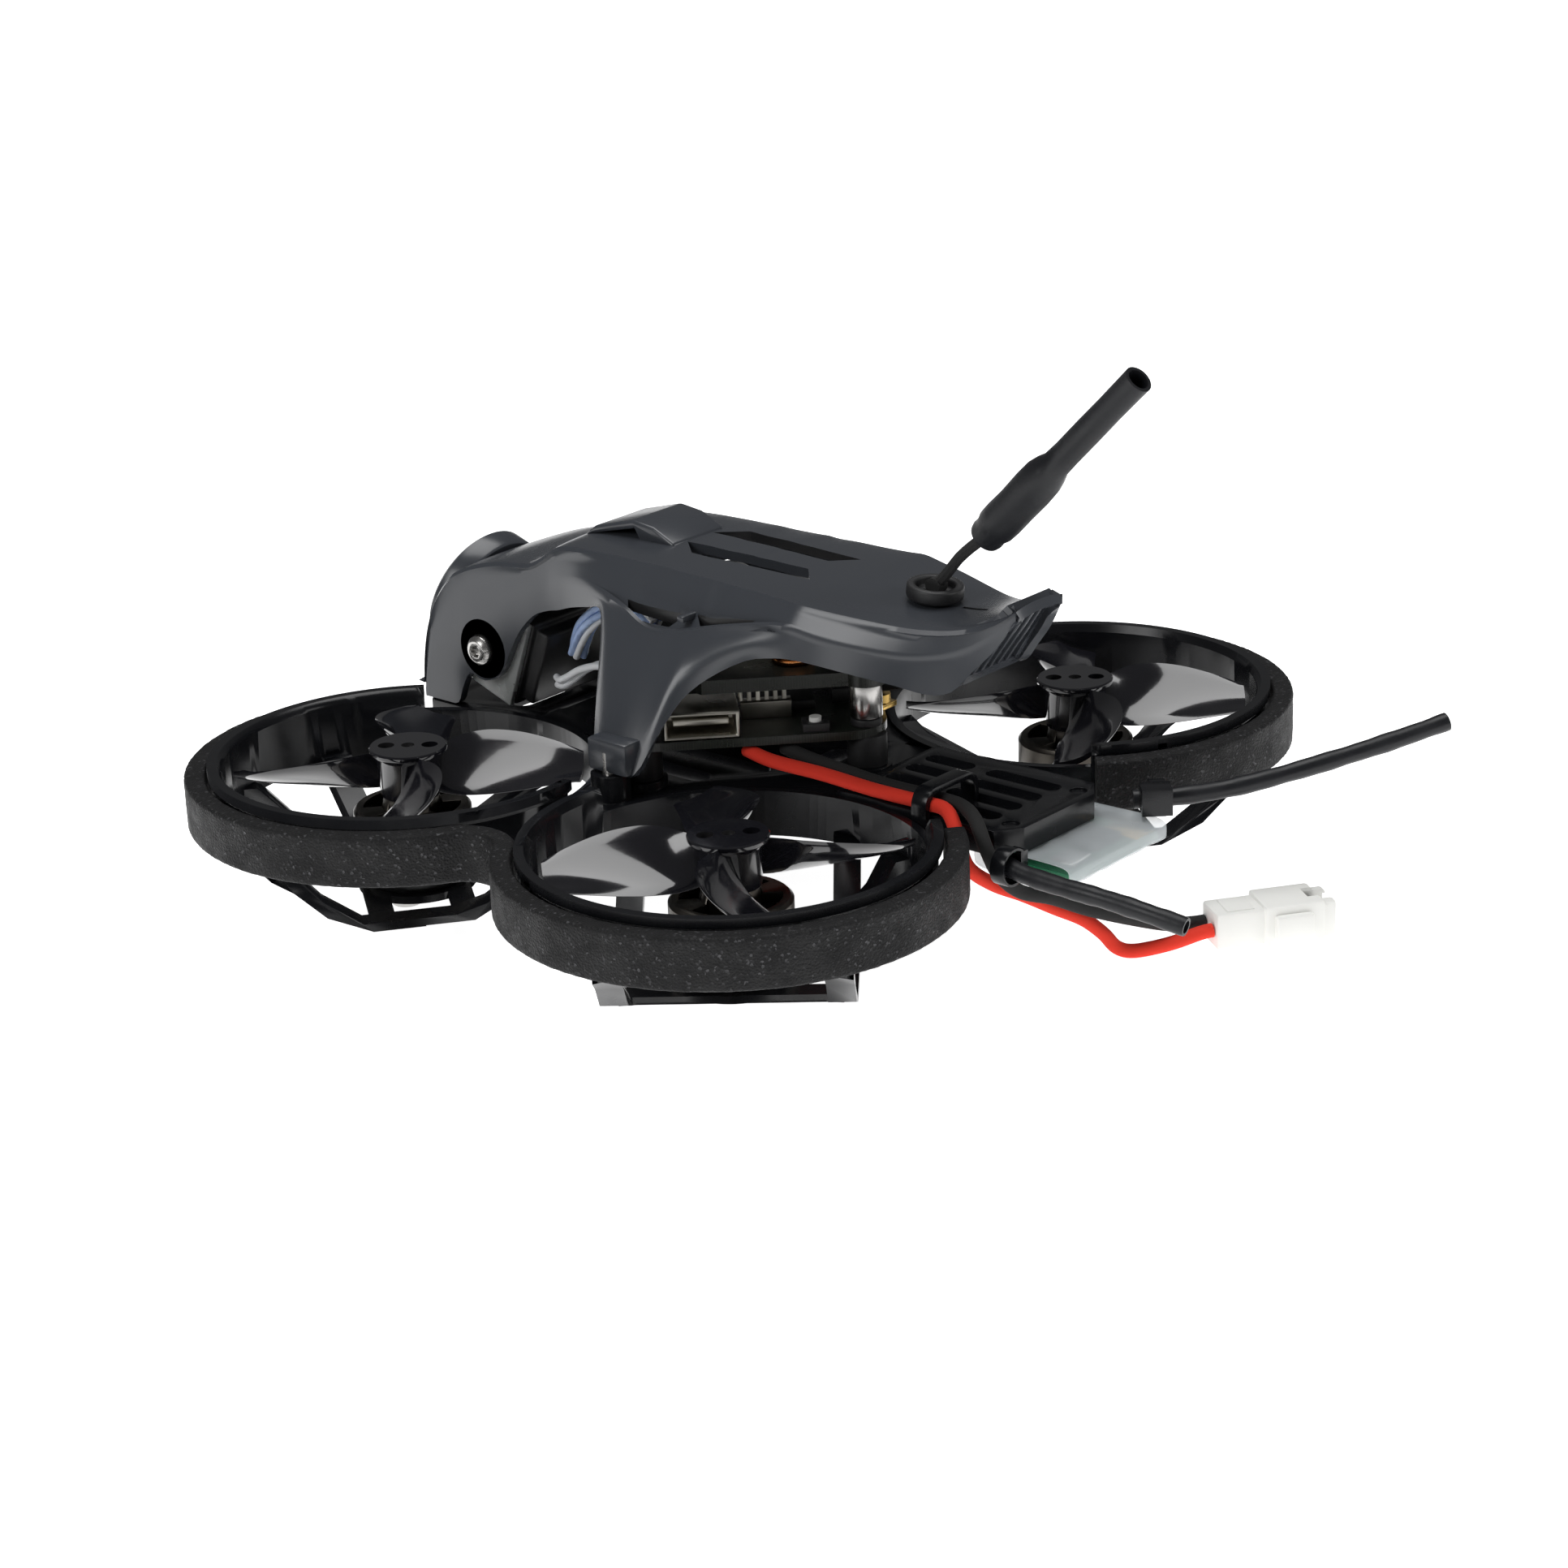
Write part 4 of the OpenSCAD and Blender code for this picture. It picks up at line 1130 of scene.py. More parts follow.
@dataclass(frozen=True)
class Section:
    """One cross section of the canopy's left half, in millimetres.

    Attributes:
        x: Where it is.
        crown: Height in the middle.
        ridge: Half width and height of the ridge.
        shoulder: Y and height of the shoulder below the ridge.
        hem: Y and height of the lower edge.
        gutter: Depth of the gutter between ridge and shoulder.
        open: True where the roof is cut away over the lens.
    """

    x: float
    crown: float
    ridge: tuple[float, float]
    shoulder: tuple[float, float]
    hem: tuple[float, float]
    gutter: float = 0.0
    open: bool = False


@dataclass
class Canopy(Part):
    """The canopy shell with its vents, hood, lens ring, tail slats and ears."""

    wall: float = 1.1
    steps: int = 3
    pivot: Point = (33.8, 0, 9.7)
    tilt: float = 20.0
    tail_tip: tuple[float, float] = (-42.5, 27.0)
    tail_foot: tuple[float, float] = (-35.3, 17.0)
    vent: tuple[tuple[float, float], ...] = ((6.0, 2.2), (2.8, 5.1), (-14.2, 4.5), (-11.7, 1.8))
    sections: tuple[Section, ...] = (
        Section(-42.5, 27.0, (4.0, 26.6), (4.1, 26.2), (4.2, 25.6)),
        Section(-40.5, 26.1, (4.9, 25.4), (5.0, 24.2), (4.9, 22.4)),
        Section(-38.0, 25.2, (5.7, 24.5), (6.1, 22.4), (5.9, 19.6)),
        Section(-35.6, 24.6, (6.6, 24.0), (7.2, 21.4), (6.8, 17.0)),
        Section(-33.0, 24.3, (7.4, 23.8), (8.3, 21.0), (7.9, 16.6)),
        Section(-30.0, 24.3, (8.4, 23.9), (9.6, 21.0), (9.4, 17.4)),
        Section(-25.0, 24.7, (9.8, 24.4), (11.3, 21.6), (11.4, 18.4)),
        Section(-21.0, 25.1, (10.7, 24.8), (12.2, 22.2), (12.7, 19.1)),
        Section(-18.2, 25.4, (11.2, 25.1), (12.7, 22.8), (13.3, 19.3)),
        Section(-16.2, 25.5, (10.9, 25.15), (13.0, 22.8), (13.8, 19.2), 0.5),
        Section(-13.0, 25.6, (10.6, 25.2), (13.5, 22.4), (14.6, 18.5), 1.3),
        Section(-9.0, 25.7, (10.4, 25.3), (14.2, 21.7), (16.2, 16.2), 1.6),
        Section(-6.4, 25.8, (10.2, 25.3), (14.6, 21.1), (18.0, 13.6), 1.6),
        Section(-4.8, 25.8, (10.2, 25.4), (14.8, 20.7), (21.0, 9.4), 1.6),
        Section(-3.4, 25.9, (10.1, 25.4), (14.9, 20.4), (23.2, 5.7), 1.6),
        Section(0.0, 25.9, (10.0, 25.4), (15.1, 19.9), (23.9, 5.7), 1.6),
        Section(2.4, 26.0, (9.9, 25.5), (14.8, 20.2), (23.4, 5.7), 1.6),
        Section(4.6, 26.0, (9.8, 25.5), (14.2, 20.9), (20.8, 8.6), 1.5),
        Section(6.8, 26.0, (9.8, 25.5), (13.5, 21.3), (17.6, 13.0), 1.2),
        Section(9.0, 26.0, (9.7, 25.5), (12.7, 21.4), (14.4, 17.2), 0.7),
        Section(11.0, 26.0, (9.6, 25.5), (11.9, 21.4), (12.2, 19.6), 0.2),
        Section(14.0, 25.9, (9.5, 25.4), (11.0, 21.6), (11.0, 19.0)),
        Section(18.0, 25.6, (9.2, 25.2), (9.9, 21.2), (9.8, 17.9)),
        Section(20.5, 25.0, (9.0, 24.6), (9.4, 20.8), (9.3, 17.0)),
        Section(22.5, 23.6, (8.9, 23.3), (9.1, 19.8), (9.1, 16.5)),
        Section(25.0, 22.2, (8.8, 21.9), (9.05, 18.6), (9.05, 15.4)),
        Section(27.6, 21.8, (8.8, 21.5), (9.0, 17.4), (9.0, 12.8)),
        Section(29.4, 21.6, (8.8, 21.3), (9.0, 16.2), (9.0, 9.8)),
        Section(31.2, 21.3, (8.8, 21.0), (9.0, 14.8), (9.0, 6.9)),
        Section(33.8, 20.6, (8.8, 20.3), (9.0, 13.8), (9.0, 5.7)),
        Section(36.2, 19.7, (8.8, 19.4), (9.0, 13.0), (9.0, 6.2)),
        Section(37.6, 19.0, (8.8, 18.7), (9.0, 11.0), (9.0, 4.2), 0, True),
        Section(38.6, 18.3, (8.8, 18.0), (9.0, 9.8), (9.0, 2.0), 0, True),
        Section(40.4, 16.4, (8.8, 16.1), (9.0, 8.6), (9.0, 1.8), 0, True),
        Section(42.0, 13.9, (8.8, 13.6), (9.0, 7.4), (9.0, 1.8), 0, True),
        Section(43.2, 10.8, (8.8, 10.5), (9.0, 6.2), (9.0, 1.8), 0, True),
        Section(43.9, 7.4, (8.8, 7.1), (9.0, 4.4), (9.0, 1.8), 0, True),
        Section(44.2, 4.2, (8.8, 3.9), (9.0, 2.6), (9.0, 1.8), 0, True))

    def half(self, s: Section) -> list[Vector]:
        """Points of a section from the middle to the lower edge.

        Args:
            s: The section.

        Returns:
            The points, in millimetres.
        """
        (rw, rz), (sy, sz), (hy, hz) = s.ridge, s.shoulder, s.hem
        yz = [(rw * f, s.crown - (s.crown - rz) * f ** 2.4) for f in (0, 0.3, 0.55, 0.78, 0.93)]
        yz += [(rw + 0.02, rz - 0.04), (rw + 0.34, rz - min(0.5, (rz - sz) * 0.3))]
        points = [Vector((s.x, y, z)) for y, z in yz]
        g = min(1.0, s.gutter / 1.6)
        for t, y, z in ((0.25, rw + 1.1, rz - 1.7), (0.45, rw + 1.7, rz - 2.9),
                        (0.62, rw + 2.2, rz + (-3.5 - 0.5 * g)),
                        (0.85, sy - 0.9, sz - 0.35 * s.gutter), (0.85, sy - 0.45, sz + 0.12)):
            plain = Vector((s.x, rw + (sy - rw) * t, rz + (sz - rz) * t))
            points.append(plain.lerp(Vector((s.x, y, z)), g))
        skirt = Vector((s.x, sy + 0.22 * g, sz - 0.55))
        hem = Vector((s.x, hy, min(hz, sz - 0.6)))
        points += [Vector((s.x, sy, sz)), skirt]
        for t in (k / 7 for k in range(1, 8)):
            bulge = 0.5 * math.sin(math.pi * t) * g
            points.append(skirt.lerp(hem, t) + Vector((0, bulge, 0.2 * bulge)))
        return points

    def rows(self) -> list[tuple[list[Vector], bool]]:
        """All sections, with smooth ones between those given.

        Returns:
            For each, its points and whether the roof is cut away there.
        """
        columns = [spline(column, self.steps) for column in zip(*map(self.half, self.sections))]
        return [(list(row), self.sections[i // self.steps].open)
                for i, row in enumerate(zip(*columns))]

    def shell(self) -> bpy.types.Object:
        """The moulded skin with its wall.

        Returns:
            The skin.
        """
        rows = self.rows()
        half = len(rows[0][0])
        points, index = [], []
        for row, _ in rows:
            whole = [Vector((p.x, -p.y, p.z)) for p in reversed(row[1:])] + row
            index.append(len(points))
            points += [p * MM for p in whole]
        n = 2 * half - 1
        faces = []
        for i in range(len(rows) - 1):
            for k in range(n - 1):
                if rows[i][1] and half - 6 <= k < half + 4:
                    continue
                a, b = index[i] + k, index[i + 1] + k
                faces.append((a, a + 1, b + 1, b))
        made = mesh_object("shell", points, faces, CANOPY_SLATE)
        work = bmesh.new()
        work.from_mesh(made.data)
        loose = [v for v in work.verts if not v.link_faces]
        bmesh.ops.delete(work, geom=loose, context="VERTS")
        bmesh.ops.recalc_face_normals(work, faces=work.faces)
        top = max(work.faces, key=lambda f: f.calc_center_median().z)
        if top.normal.z < 0:
            bmesh.ops.reverse_faces(work, faces=work.faces)
        work.to_mesh(made.data)
        work.free()
        wall = made.modifiers.new("wall", "SOLIDIFY")
        wall.thickness, wall.offset = self.wall * MM, -1
        wall.use_even_offset = False
        apply_modifiers(made)
        return made

    def cutters(self) -> list[bpy.types.Object]:
        """Solids for the vents, the gutter slots, the holes and the tail.

        Returns:
            The solids.
        """
        tools = []
        for s in (1, -1):
            tools.append(prism("vent", [(x, y * s) for x, y in self.vent], 20, 30, EPOXY))
            for x0, x1, outer in ((-12.6, -4.2, 13.25), (-2.6, 6.4, 13.6)):
                slot = [(x0, 12.25 * s), (x1, 12.25 * s), (x1 - 1.2, outer * s),
                        (x0 + 1.6, outer * s)]
                tools.append(prism("slot", slot, 17.5, 24, EPOXY))
        tools.append(lathe("bore", [(0, -8), (2.25, -8), (2.25, 8), (0, 8)], EPOXY,
                           placed((-28.3, 0, 24.4), -6, "Y"), 40))
        tools.append(prism("slit", [(-35.6, -0.3), (-32.2, -0.3), (-32.2, 0.3), (-35.6, 0.3)],
                           20, 28, EPOXY))
        tools.append(lathe("ear_bore", [(0, -14), (1.05, -14), (1.05, 14), (0, 14)], EPOXY,
                           placed(self.pivot, 90, "X"), 32))
        return tools

    def hood(self) -> bpy.types.Object:
        """The raised hood on the roof, open at its sides.

        Returns:
            The hood.
        """
        outline = [(20.4, 25.0), (18.6, 26.4), (12.6, 28.0), (9.4, 27.6), (6.2, 26.1),
                   (6.2, 25.4), (11.6, 25.6), (12.4, 27.0), (18.4, 25.5)]
        flap = prism("flap", outline, -4.4, 4.4, CANOPY_SLATE, placed((0, 0, 0), 90, "X"))
        add_bevel(flap, 0.35, 3, 20)
        return flap

    def lens_ring(self) -> bpy.types.Object:
        """The ring that stands round the lens.

        Returns:
            The ring.
        """
        outline = [(7.2, -1.6), (8.1, -1.6), (8.3, -1.3), (8.3, 1.2), (7.9, 1.6), (7.4, 1.6),
                   (7.2, 1.4)]
        place = placed(self.pivot, -self.tilt, "Y") @ placed((8.6, 0, 0), 90, "Y")
        return lathe("lens_ring", outline, CANOPY_SLATE, place, 72)

    def slats(self) -> list[bpy.types.Object]:
        """The slanted tail plate, made of slats that run down it.

        Returns:
            Its slats and its rim.
        """
        (tip_x, tip_z), (foot_x, foot_z) = self.tail_tip, self.tail_foot
        run = math.hypot(tip_x - foot_x, tip_z - foot_z)
        lean = math.degrees(math.atan2(tip_z - foot_z, foot_x - tip_x)) - 180
        bar = block("bar", (0.6, -0.32, -0.5), (run - 1.6, 0.32, 0.5), CANOPY_SLATE)
        parts = [PATTERN.apply(bar, 5, CANOPY_SLATE, start=(0, -3.0, 0), step=(0, 1.5, 0))]
        rim = [[(-0.2, -6.6), (1.3, -6.2), (1.3, 6.2), (-0.2, 6.6)],
               [(run - 2.2, -4.4), (run - 0.8, -3.8), (run - 0.8, 3.8), (run - 2.2, 4.4)]]
        rim += [[(0.2, s * 4.3), (run - 1.4, s * 3.5), (run - 1.4, s * 4.2), (0.2, s * 6.6)]
                for s in (1, -1)]
        parts += [prism("tail_rim", outline, -0.5, 0.5, CANOPY_SLATE) for outline in rim]
        place = placed((foot_x + 0.5, 0, foot_z + 0.4), lean, "Y")
        for part in parts:
            part.data.transform(place)
        return parts

    def ears(self) -> list[bpy.types.Object]:
        """Round bosses of the camera's screws, the feet of the nose and the leg feet.

        Returns:
            The bosses, feet and ribs.
        """
        parts = []
        foot = self.layout.motors["front_left"].y / MM - 7.8
        boss = [(1.05, -0.5), (3.7, -0.5), (3.9, -0.3), (3.9, 0.3), (3.7, 0.5), (1.05, 0.5)]
        for s in (1, -1):
            at = (self.pivot[0], s * 8.5, self.pivot[2])
            parts.append(lathe("ear", boss, CANOPY_SLATE, placed(at, 90, "X"), 40))
            for name, one, other, soft in (
                    ("nose_foot", (40.2, s * 6.2, 1.65), (44.0, s * 8.9, 5.6), 0.3),
                    ("leg_foot", (-3.2, s * (foot - 2.0), 5.55), (2.6, s * (foot + 0.9), 9.4), 0.4),
                    ("rib", (-3.9, s * 9.9, 21.1), (-2.9, s * 14.4, 21.9), 0.25)):
                parts.append(block(name, one, other, CANOPY_SLATE, soft=soft))
        return parts

    def build(self) -> None:
        """Makes the canopy as one piece."""
        shell = self.shell()
        cut(shell, self.cutters())
        parts = [shell, self.hood(), self.lens_ring(), *self.slats(), *self.ears()]
        made = joined("canopy_shell", parts)
        smooth(made, 38)
        self.keep(made, "airframe", "canopy_slate", "canopy")


# ---- Propellers ----


@dataclass
class Propellers(Part):
    """Four propellers of four blades, two of them mirrored."""

    tip: float = 20.0
    hub_low: float = 0.2
    hub_top: float = 6.0
    thick: float = 0.34
    cup: float = 0.1
    turns: dict[str, float] = field(default_factory=lambda: {
        "front_left": 39, "front_right": 20, "rear_left": 50, "rear_right": 38})
    stations: tuple[tuple[float, ...], ...] = (
        (0.17, 5.4, 66, 3.1, 0), (0.26, 6.6, 54, 3.1, 4), (0.38, 8.2, 42, 3.2, 7),
        (0.52, 9.2, 34, 3.3, 7),
        (0.68, 9.0, 28, 3.3, 5), (0.84, 7.6, 23, 3.2, 2), (1.0, 5.4, 19, 3.1, -2))

    def blade(self, turn: float) -> bpy.types.Object:
        """One blade, cupped and twisted, as a closed skin.

        Args:
            turn: Its place round the hub, in radians.

        Returns:
            The blade.
        """
        rows = spline([s[:3] for s in self.stations], 5)
        rest = spline([(s[3], s[4], 0) for s in self.stations], 5)
        across, rings = 12, []
        sides = [(1, k) for k in range(across + 1)] + [(-1, k) for k in range(across, -1, -1)]
        for (share, chord, pitch), (height, sweep, _) in zip(rows, rest):
            r = share * self.tip
            wide, tall = (chord * f(math.radians(pitch)) for f in (math.cos, math.sin))
            ring = []
            for side, k in sides:
                t = k / across - 0.5
                thick = self.thick * math.sqrt(max(0.0, 1 - (2 * t) ** 4)) + 0.02
                angle = math.radians(sweep) + t * wide / r
                z = height + t * tall - self.cup * chord * (1 - 4 * t * t) + side * thick
                ring.append(mm(r * math.cos(angle + turn), r * math.sin(angle + turn), z))
            rings.append(ring)
        made = loft("blade", rings, BLADE_GLOSS)
        tidy(made, 1e-8)
        smooth(made, 50)
        return made

    def hub(self) -> bpy.types.Object:
        """The hub with its flat head and three holes.

        Returns:
            The hub.
        """
        low, top = self.hub_low, self.hub_top
        outline = [(0, low), (3.4, low), (3.5, low + 0.3), (3.8, top - 1.3), (4.3, top - 0.8),
                   (4.5, top - 0.5), (4.5, top - 0.15), (4.35, top), (0, top)]
        made = lathe("hub", outline, BLADE_GLOSS, None, 64)
        cut(made, [lathe("hole", [(0, -1), (r, -1), (r, 7), (0, 7)], EPOXY, placed((x, 0, 0)), 24)
                   for x, r in ((-2.5, 0.95), (2.5, 0.95), (0, 0.76))])
        return made

    def build(self) -> None:
        """Makes each propeller at its rest angle."""
        for corner, at in self.layout.motors.items():
            blades = [self.blade(math.radians(90 * k)) for k in range(4)]
            made = joined(f"propeller_blades_{corner}", [self.hub(), *blades])
            if at.x * at.y < 0:
                made.data.transform(Matrix.Diagonal((1, -1, 1, 1)))
                made.data.flip_normals()
            made.data.transform(placed(at / MM, self.turns[corner]))
            smooth(made, 42)
            self.keep(made, f"rotor_{corner}", "propeller", f"propeller_{corner}")


# ---- Motors ----


@dataclass
class Motors(Part):
    """Bells, magnets, shafts, wound cores, screws and leads of the four motors."""

    bell_r: float = 6.8
    coil_count: int = 9
    layers: int = 9
    layer_step: float = 0.46
    lowest: float = -7.2

    def build(self) -> None:
        """Makes the four motors."""
        coils = []
        for corner, at in self.layout.motors.items():
            bell = rounded_copy(f"motor_bell_{corner}", BELL_METAL, f"bell_{corner}", 0.14)
            inner, outer = self.bell_r - 0.5, self.bell_r + 0.02
            outline = [(inner, -8.42), (outer, -8.42), (outer, -7.5), (inner, -7.5)]
            ring = lathe("ring", outline, MACHINED, Matrix.Translation(at), 64)
            made = joined(f"motor_bell_metal_{corner}", [bell, ring])
            smooth(made, 40)
            self.keep(made, f"rotor_{corner}", "bell", f"motor_bell_{corner}")
            self.dress(f"motor_magnets_{corner}", NICKEL)
            self.dress(f"motor_shaft_{corner}", NICKEL)
            coils.append(self.coils(at))
        made = joined("winding_coils", coils)
        smooth(made, 50)
        self.keep(made, "airframe", "copper", "motor_windings")
        for node, finish, name, slot in (
                ("motor_stators", EPOXY, "stator_cores", "moulded_black"),
                ("motor_screws", NICKEL, "motor_fixing_screws", "steel")):
            self.keep(rounded_copy(node, finish, name, 0.1), "airframe", slot, node)
        self.dress("motor_leads", LEAD_BLACK)

    def coils(self, at: Vector) -> bpy.types.Object:
        """The ring of wound coils in one motor.

        Args:
            at: The motor's place.

        Returns:
            The coils.
        """
        turns = []
        for z in (self.lowest + self.layer_step * layer for layer in range(self.layers)):
            turns.append(block("turn", (3.2, -0.95, z), (5.1, 0.95, z + 0.42), COPPER_TURN_SHADE_PAINTED, soft=0.2))
        return PATTERN.apply(joined("coil", turns), self.coil_count, COPPER_TURN_SHADE_PAINTED, radius=0.00001,
                             start=tuple(at / MM))


# ---- Plain pieces that keep their CAD shape ----


@dataclass
class SmallParts(Part):
    """Pieces whose CAD shape is right, rounded at their edges and dressed."""

    rounded: tuple[tuple[str, str, Finish, str, float], ...] = (
        ("canopy_screws", "airframe", NICKEL, "steel", 0.12),
        ("stack_screws", "airframe", NICKEL, "steel", 0.12),
        ("rubber_dampers", "airframe", SOFT_RUBBER, "rubber", 0.25),
        ("usb_port", "airframe", TIN, "tin", 0.18),
        ("pin_header", "airframe", TIN, "tin", 0.05),
        ("video_transmitter_shield", "airframe", TIN, "tin", 0.2),
        ("inductor", "airframe", COPPER_TURN_SHADE_PAINTED, "copper", 0.2),
        ("antenna_socket", "airframe", GOLD, "gold", 0.1),
        ("antenna_grommet", "airframe", SOFT_RUBBER, "rubber", 0.35),
        ("zip_ties", "airframe", SATIN_FRAME, "nylon_black", 0.2),
        ("camera_case", "camera", EPOXY, "chip", 0.35),
        ("camera_side_plates", "camera", SMOKY_PLATE, "side_plate", 0.15),
        ("camera_lens", "camera", SATIN_FRAME, "chip", 0.2),
        ("camera_screws", "camera", NICKEL, "steel", 0.12),
        ("flight_controller_chips", "airframe", EPOXY, "chip", 0.12))
    kept: tuple[tuple[str, Finish], ...] = (
        ("boot_button", NYLON_WHITE), ("camera_glass", LENS_COAT), ("antenna_coax", LEAD_BLACK),
        ("flight_controller_board", MASK_BLACK), ("video_transmitter_board", MASK_BLACK),
        ("video_antenna_stem", LEAD_BLACK))

    def build(self) -> None:
        """Rounds or dresses each piece."""
        for node, body, finish, slot, edge in self.rounded:
            self.keep(rounded_copy(node, finish, f"{node}_piece", edge), body, slot, node)
        for node, finish in self.kept:
            self.dress(node, finish)


# ---- Receiver and wires ----


@dataclass
class Receiver(Part):
    """The receiver in its clear sleeve, and its two antenna tubes."""

    centre: Point = (-45, -2, -2)
    tube_r: float = 1.1
    left: tuple[Point, ...] = (
        (-45.4, 11.6, 1.2), (-49, 11.8, 0.6), (-54, 11.6, 0.2), (-59, 11, -0.2), (-64, 10.4, -0.8),
        (-68.3, 9.6, -1.6))
    right: tuple[Point, ...] = (
        (-46, -12.4, 1), (-50, -15.9, 1.2), (-54, -19.8, 1.8), (-58, -24.8, 2.8), (-62, -30.4, 4),
        (-65.6, -35.8, 5.2), (-68.8, -41, 6.4))

    def build(self) -> None:
        """Makes the board, the film and the two tubes."""
        place = placed(self.centre)
        pieces = [
            block("board", (-6, -8, 0), (6, 8, 1), RECEIVER_MASK, place, 0.1),
            block("chip", (-4, -4, 1), (1, 1, 1.9), EPOXY, place, 0.15),
            block("foil", (-5.6, -7.6, 1), (-0.5, -4.6, 1.12), GOLD, place, 0.04),
            block("can", (-5, 3, 1), (-2, 6.6, 1.9), NICKEL, place, 0.25),
            block("crystal", (2, 2.4, 1), (4.6, 3.8, 1.6), NICKEL, place, 0.2)]
        pad = block("pad", (4.7, -7.2, 0.95), (5.7, -6.4, 1.06), GOLD, soft=0.03)
        pads = PATTERN.apply(pad, 9, GOLD, step=(0, 1.6, 0))
        pads.data.transform(place)
        made = joined("receiver_board_piece", pieces + [pads])
        self.keep(made, "airframe", "receiver_green", "receiver_board")
        self.keep(self.film(), "airframe", "clear_sleeve", "receiver_sleeve")
        for side, route in (("left", self.left), ("right", self.right)):
            self.keep(self.shrink(side, route), "airframe", "sleeve_black",
                      f"receiver_antenna_{side}")

    def film(self) -> bpy.types.Object:
        """The film: a flat tube, slack and creased, open at both ends.

        Returns:
            The film.
        """
        rows, sides, rings = 30, 40, []
        rng = random.Random(8)
        waves = [(rng.uniform(0.6, 1.9), rng.uniform(0, 6.3)) for _ in range(6)]
        for y in (-9 + 18 * j / rows for j in range(rows + 1)):
            ring = []
            for a in (math.tau * i / sides for i in range(sides)):
                wide = math.copysign(abs(math.cos(a)) ** 0.28, math.cos(a))
                tall = math.copysign(abs(math.sin(a)) ** 0.45, math.sin(a))
                crease = sum(math.sin(k * y + 2.1 * k * wide + p) for k, p in waves) * 0.035
                ring.append(mm(self.centre[0] + 6.4 * wide, self.centre[1] + y,
                               -1.1 + (1.28 + crease) * tall))
            rings.append(ring)
        made = loft("receiver_film", rings, CLEAR_SLEEVE, capped=False)
        shell = made.modifiers.new("film", "SOLIDIFY")
        shell.thickness, shell.offset = 0.12 * MM, 0
        apply_modifiers(made)
        smooth(made, 60)
        return made

    def shrink(self, side: str, route: Sequence[Point]) -> bpy.types.Object:
        """One antenna tube, a little uneven, with an open far end.

        Args:
            side: Left or right, for its name.
            route: Its middle line, in millimetres.

        Returns:
            The tube.
        """
        line = spline([mm(*p) for p in route], 8)
        rng = random.Random(len(route))
        phase = rng.uniform(0, 6)

        def radius(t: float) -> float:
            """Radius at a share of the length."""
            return self.tube_r * MM * (
                0.95 + 0.03 * math.sin(31 * t + phase) + 0.02 * math.sin(73 * t))

        made = tube(f"antenna_tube_{side}", line, radius, SHRINK_TUBE, 24)
        end = (line[-1] - line[-2]).normalized()
        bore = tube("bore", [line[-1] - end * 4 * MM, line[-1] + end * 2 * MM],
                    lambda t: 0.72 * MM, SHRINK_TUBE, 20)
        cut(made, [bore])
        smooth(made, 40)
        return made


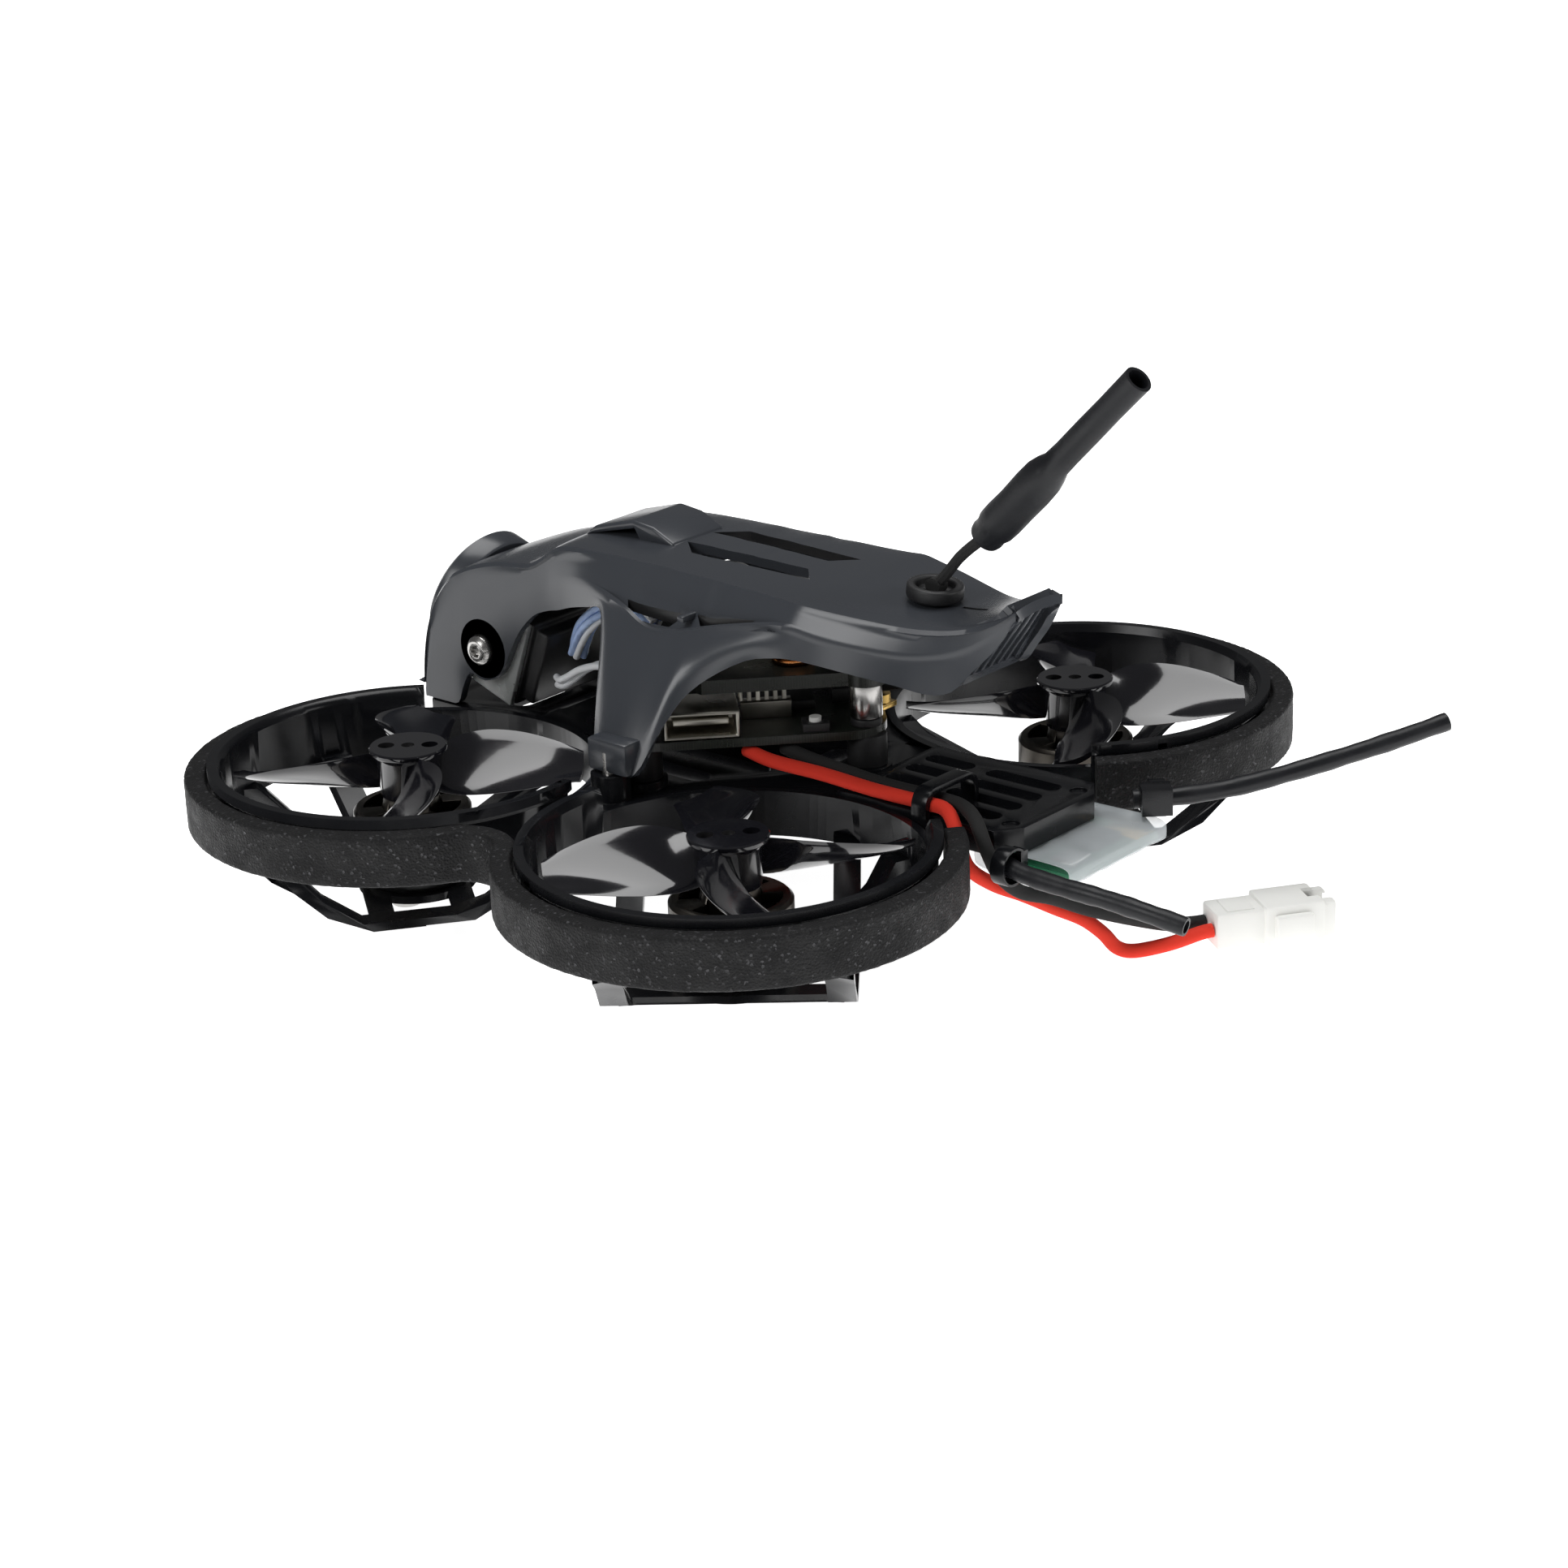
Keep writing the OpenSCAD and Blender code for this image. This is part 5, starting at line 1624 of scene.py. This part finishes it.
@dataclass
class Wiring(Part):
    """The camera's wires and the video antenna's sleeve."""

    bundle: tuple[Point, ...] = (
        (23.8, 3, 9.4), (22.8, 3.4, 11.4), (21, 4, 13.8), (18.4, 4, 16), (15.4, 4, 17.2),
        (12.4, 4, 17.2), (9.8, 4, 16))
    cable: tuple[Point, ...] = (
        (24.6, 6, 6.6), (23.2, 6.6, 6.8), (21.4, 7, 7.8), (19, 7, 9.4), (16.4, 6.4, 10.2),
        (13.4, 5.4, 9.4))
    sleeve_at: Point = (-35.2, 0, 32.5)
    lean: float = 45

    def strands(self, name: str, route: Sequence[Point], around: float, thick: float,
                finishes: Sequence[Finish]) -> bpy.types.Object:
        """Wires laid round a route in a slow twist.

        Args:
            name: The piece's name.
            route: The middle of the bundle.
            around: How far each wire lies from the middle, in millimetres.
            thick: Each wire's radius, in millimetres.
            finishes: One finish for each wire.

        Returns:
            The bundle.
        """
        line = spline([mm(*p) for p in route], 8)
        made = []
        for k, finish in enumerate(finishes):
            path = []
            for i, point in enumerate(line):
                ahead = (line[min(i + 1, len(line) - 1)] - line[max(i - 1, 0)]).normalized()
                side = ahead.cross(Vector((0, 1, 0))).normalized()
                turn = math.tau * k / len(finishes) + 2.2 * i / len(line)
                out = math.cos(turn) * side + math.sin(turn) * ahead.cross(side)
                path.append(point + around * MM * out)
            made.append(tube(f"strand_{k}", path, lambda t: thick * MM, finish, 12))
        return joined(name, made)

    def sleeve(self) -> bpy.types.Object:
        """The antenna's heat-shrink: two sizes, shrunk over lumps, open at the top.

        Returns:
            The tubing.
        """
        outer = [(0.66, 0.4), (1.85, 0.4), (1.98, 0.9), (1.95, 1.7), (2.25, 2.6), (2.33, 4),
                 (2.26, 6.5), (2.33, 9.5), (2.28, 11.6), (2.0, 12.8), (1.62, 13.9), (1.55, 16),
                 (1.58, 20), (1.53, 24), (1.58, 29), (1.2, 29), (1.2, 16), (0.66, 16)]
        made = lathe("video_antenna_tubing", outer, SHRINK_TUBE)
        rng = random.Random(21)
        lumps = [(rng.uniform(0.25, 0.9), rng.randint(1, 3), rng.uniform(0, 6))
                 for _ in range(5)]
        for v in made.data.vertices:
            around = math.atan2(v.co.y, v.co.x)
            swell = 1 + 0.008 * sum(math.sin(k * v.co.z / MM + n * around + p) for k, n, p in lumps)
            v.co.x, v.co.y = v.co.x * min(swell, 1.02), v.co.y * min(swell, 1.02)
        made.data.transform(placed(self.sleeve_at, -self.lean, "Y"))
        smooth(made, 40)
        return made

    def build(self) -> None:
        """Makes the wires, the cable and the sleeve."""
        wires = self.strands("camera_wire_bundle", self.bundle, 0.85, 0.42,
                             [BLUE_WIRE, BLUE_WIRE, WHITE_WIRE, BLUE_WIRE, BLUE_WIRE, WHITE_WIRE])
        self.keep(wires, "airframe", "camera_wire", "camera_wires")
        cable = self.strands("camera_cable_pair", self.cable, 0.45, 0.44,
                             [WHITE_WIRE, WHITE_WIRE])
        self.keep(cable, "airframe", "nylon_white", "camera_cable")
        self.keep(self.sleeve(), "video_antenna", "sleeve_black", "video_antenna_sleeve")


def main() -> None:
    """Builds the scene in order."""
    logging.basicConfig(level=logging.INFO, format="%(relativeCreated)d ms %(message)s")
    layout = Layout.read()
    studio = Studio()
    studio.camera()
    BatteryLead(layout).build()
    studio.floor(layout.ground - 0.0001)
    studio.lights()
    FrameMoulding(layout).build()
    FoamBumpers(layout).build()
    Canopy(layout).build()
    Propellers(layout).build()
    Motors(layout).build()
    Receiver(layout).build()
    Wiring(layout).build()
    SmallParts(layout).build()


if __name__ == "__main__":
    main()
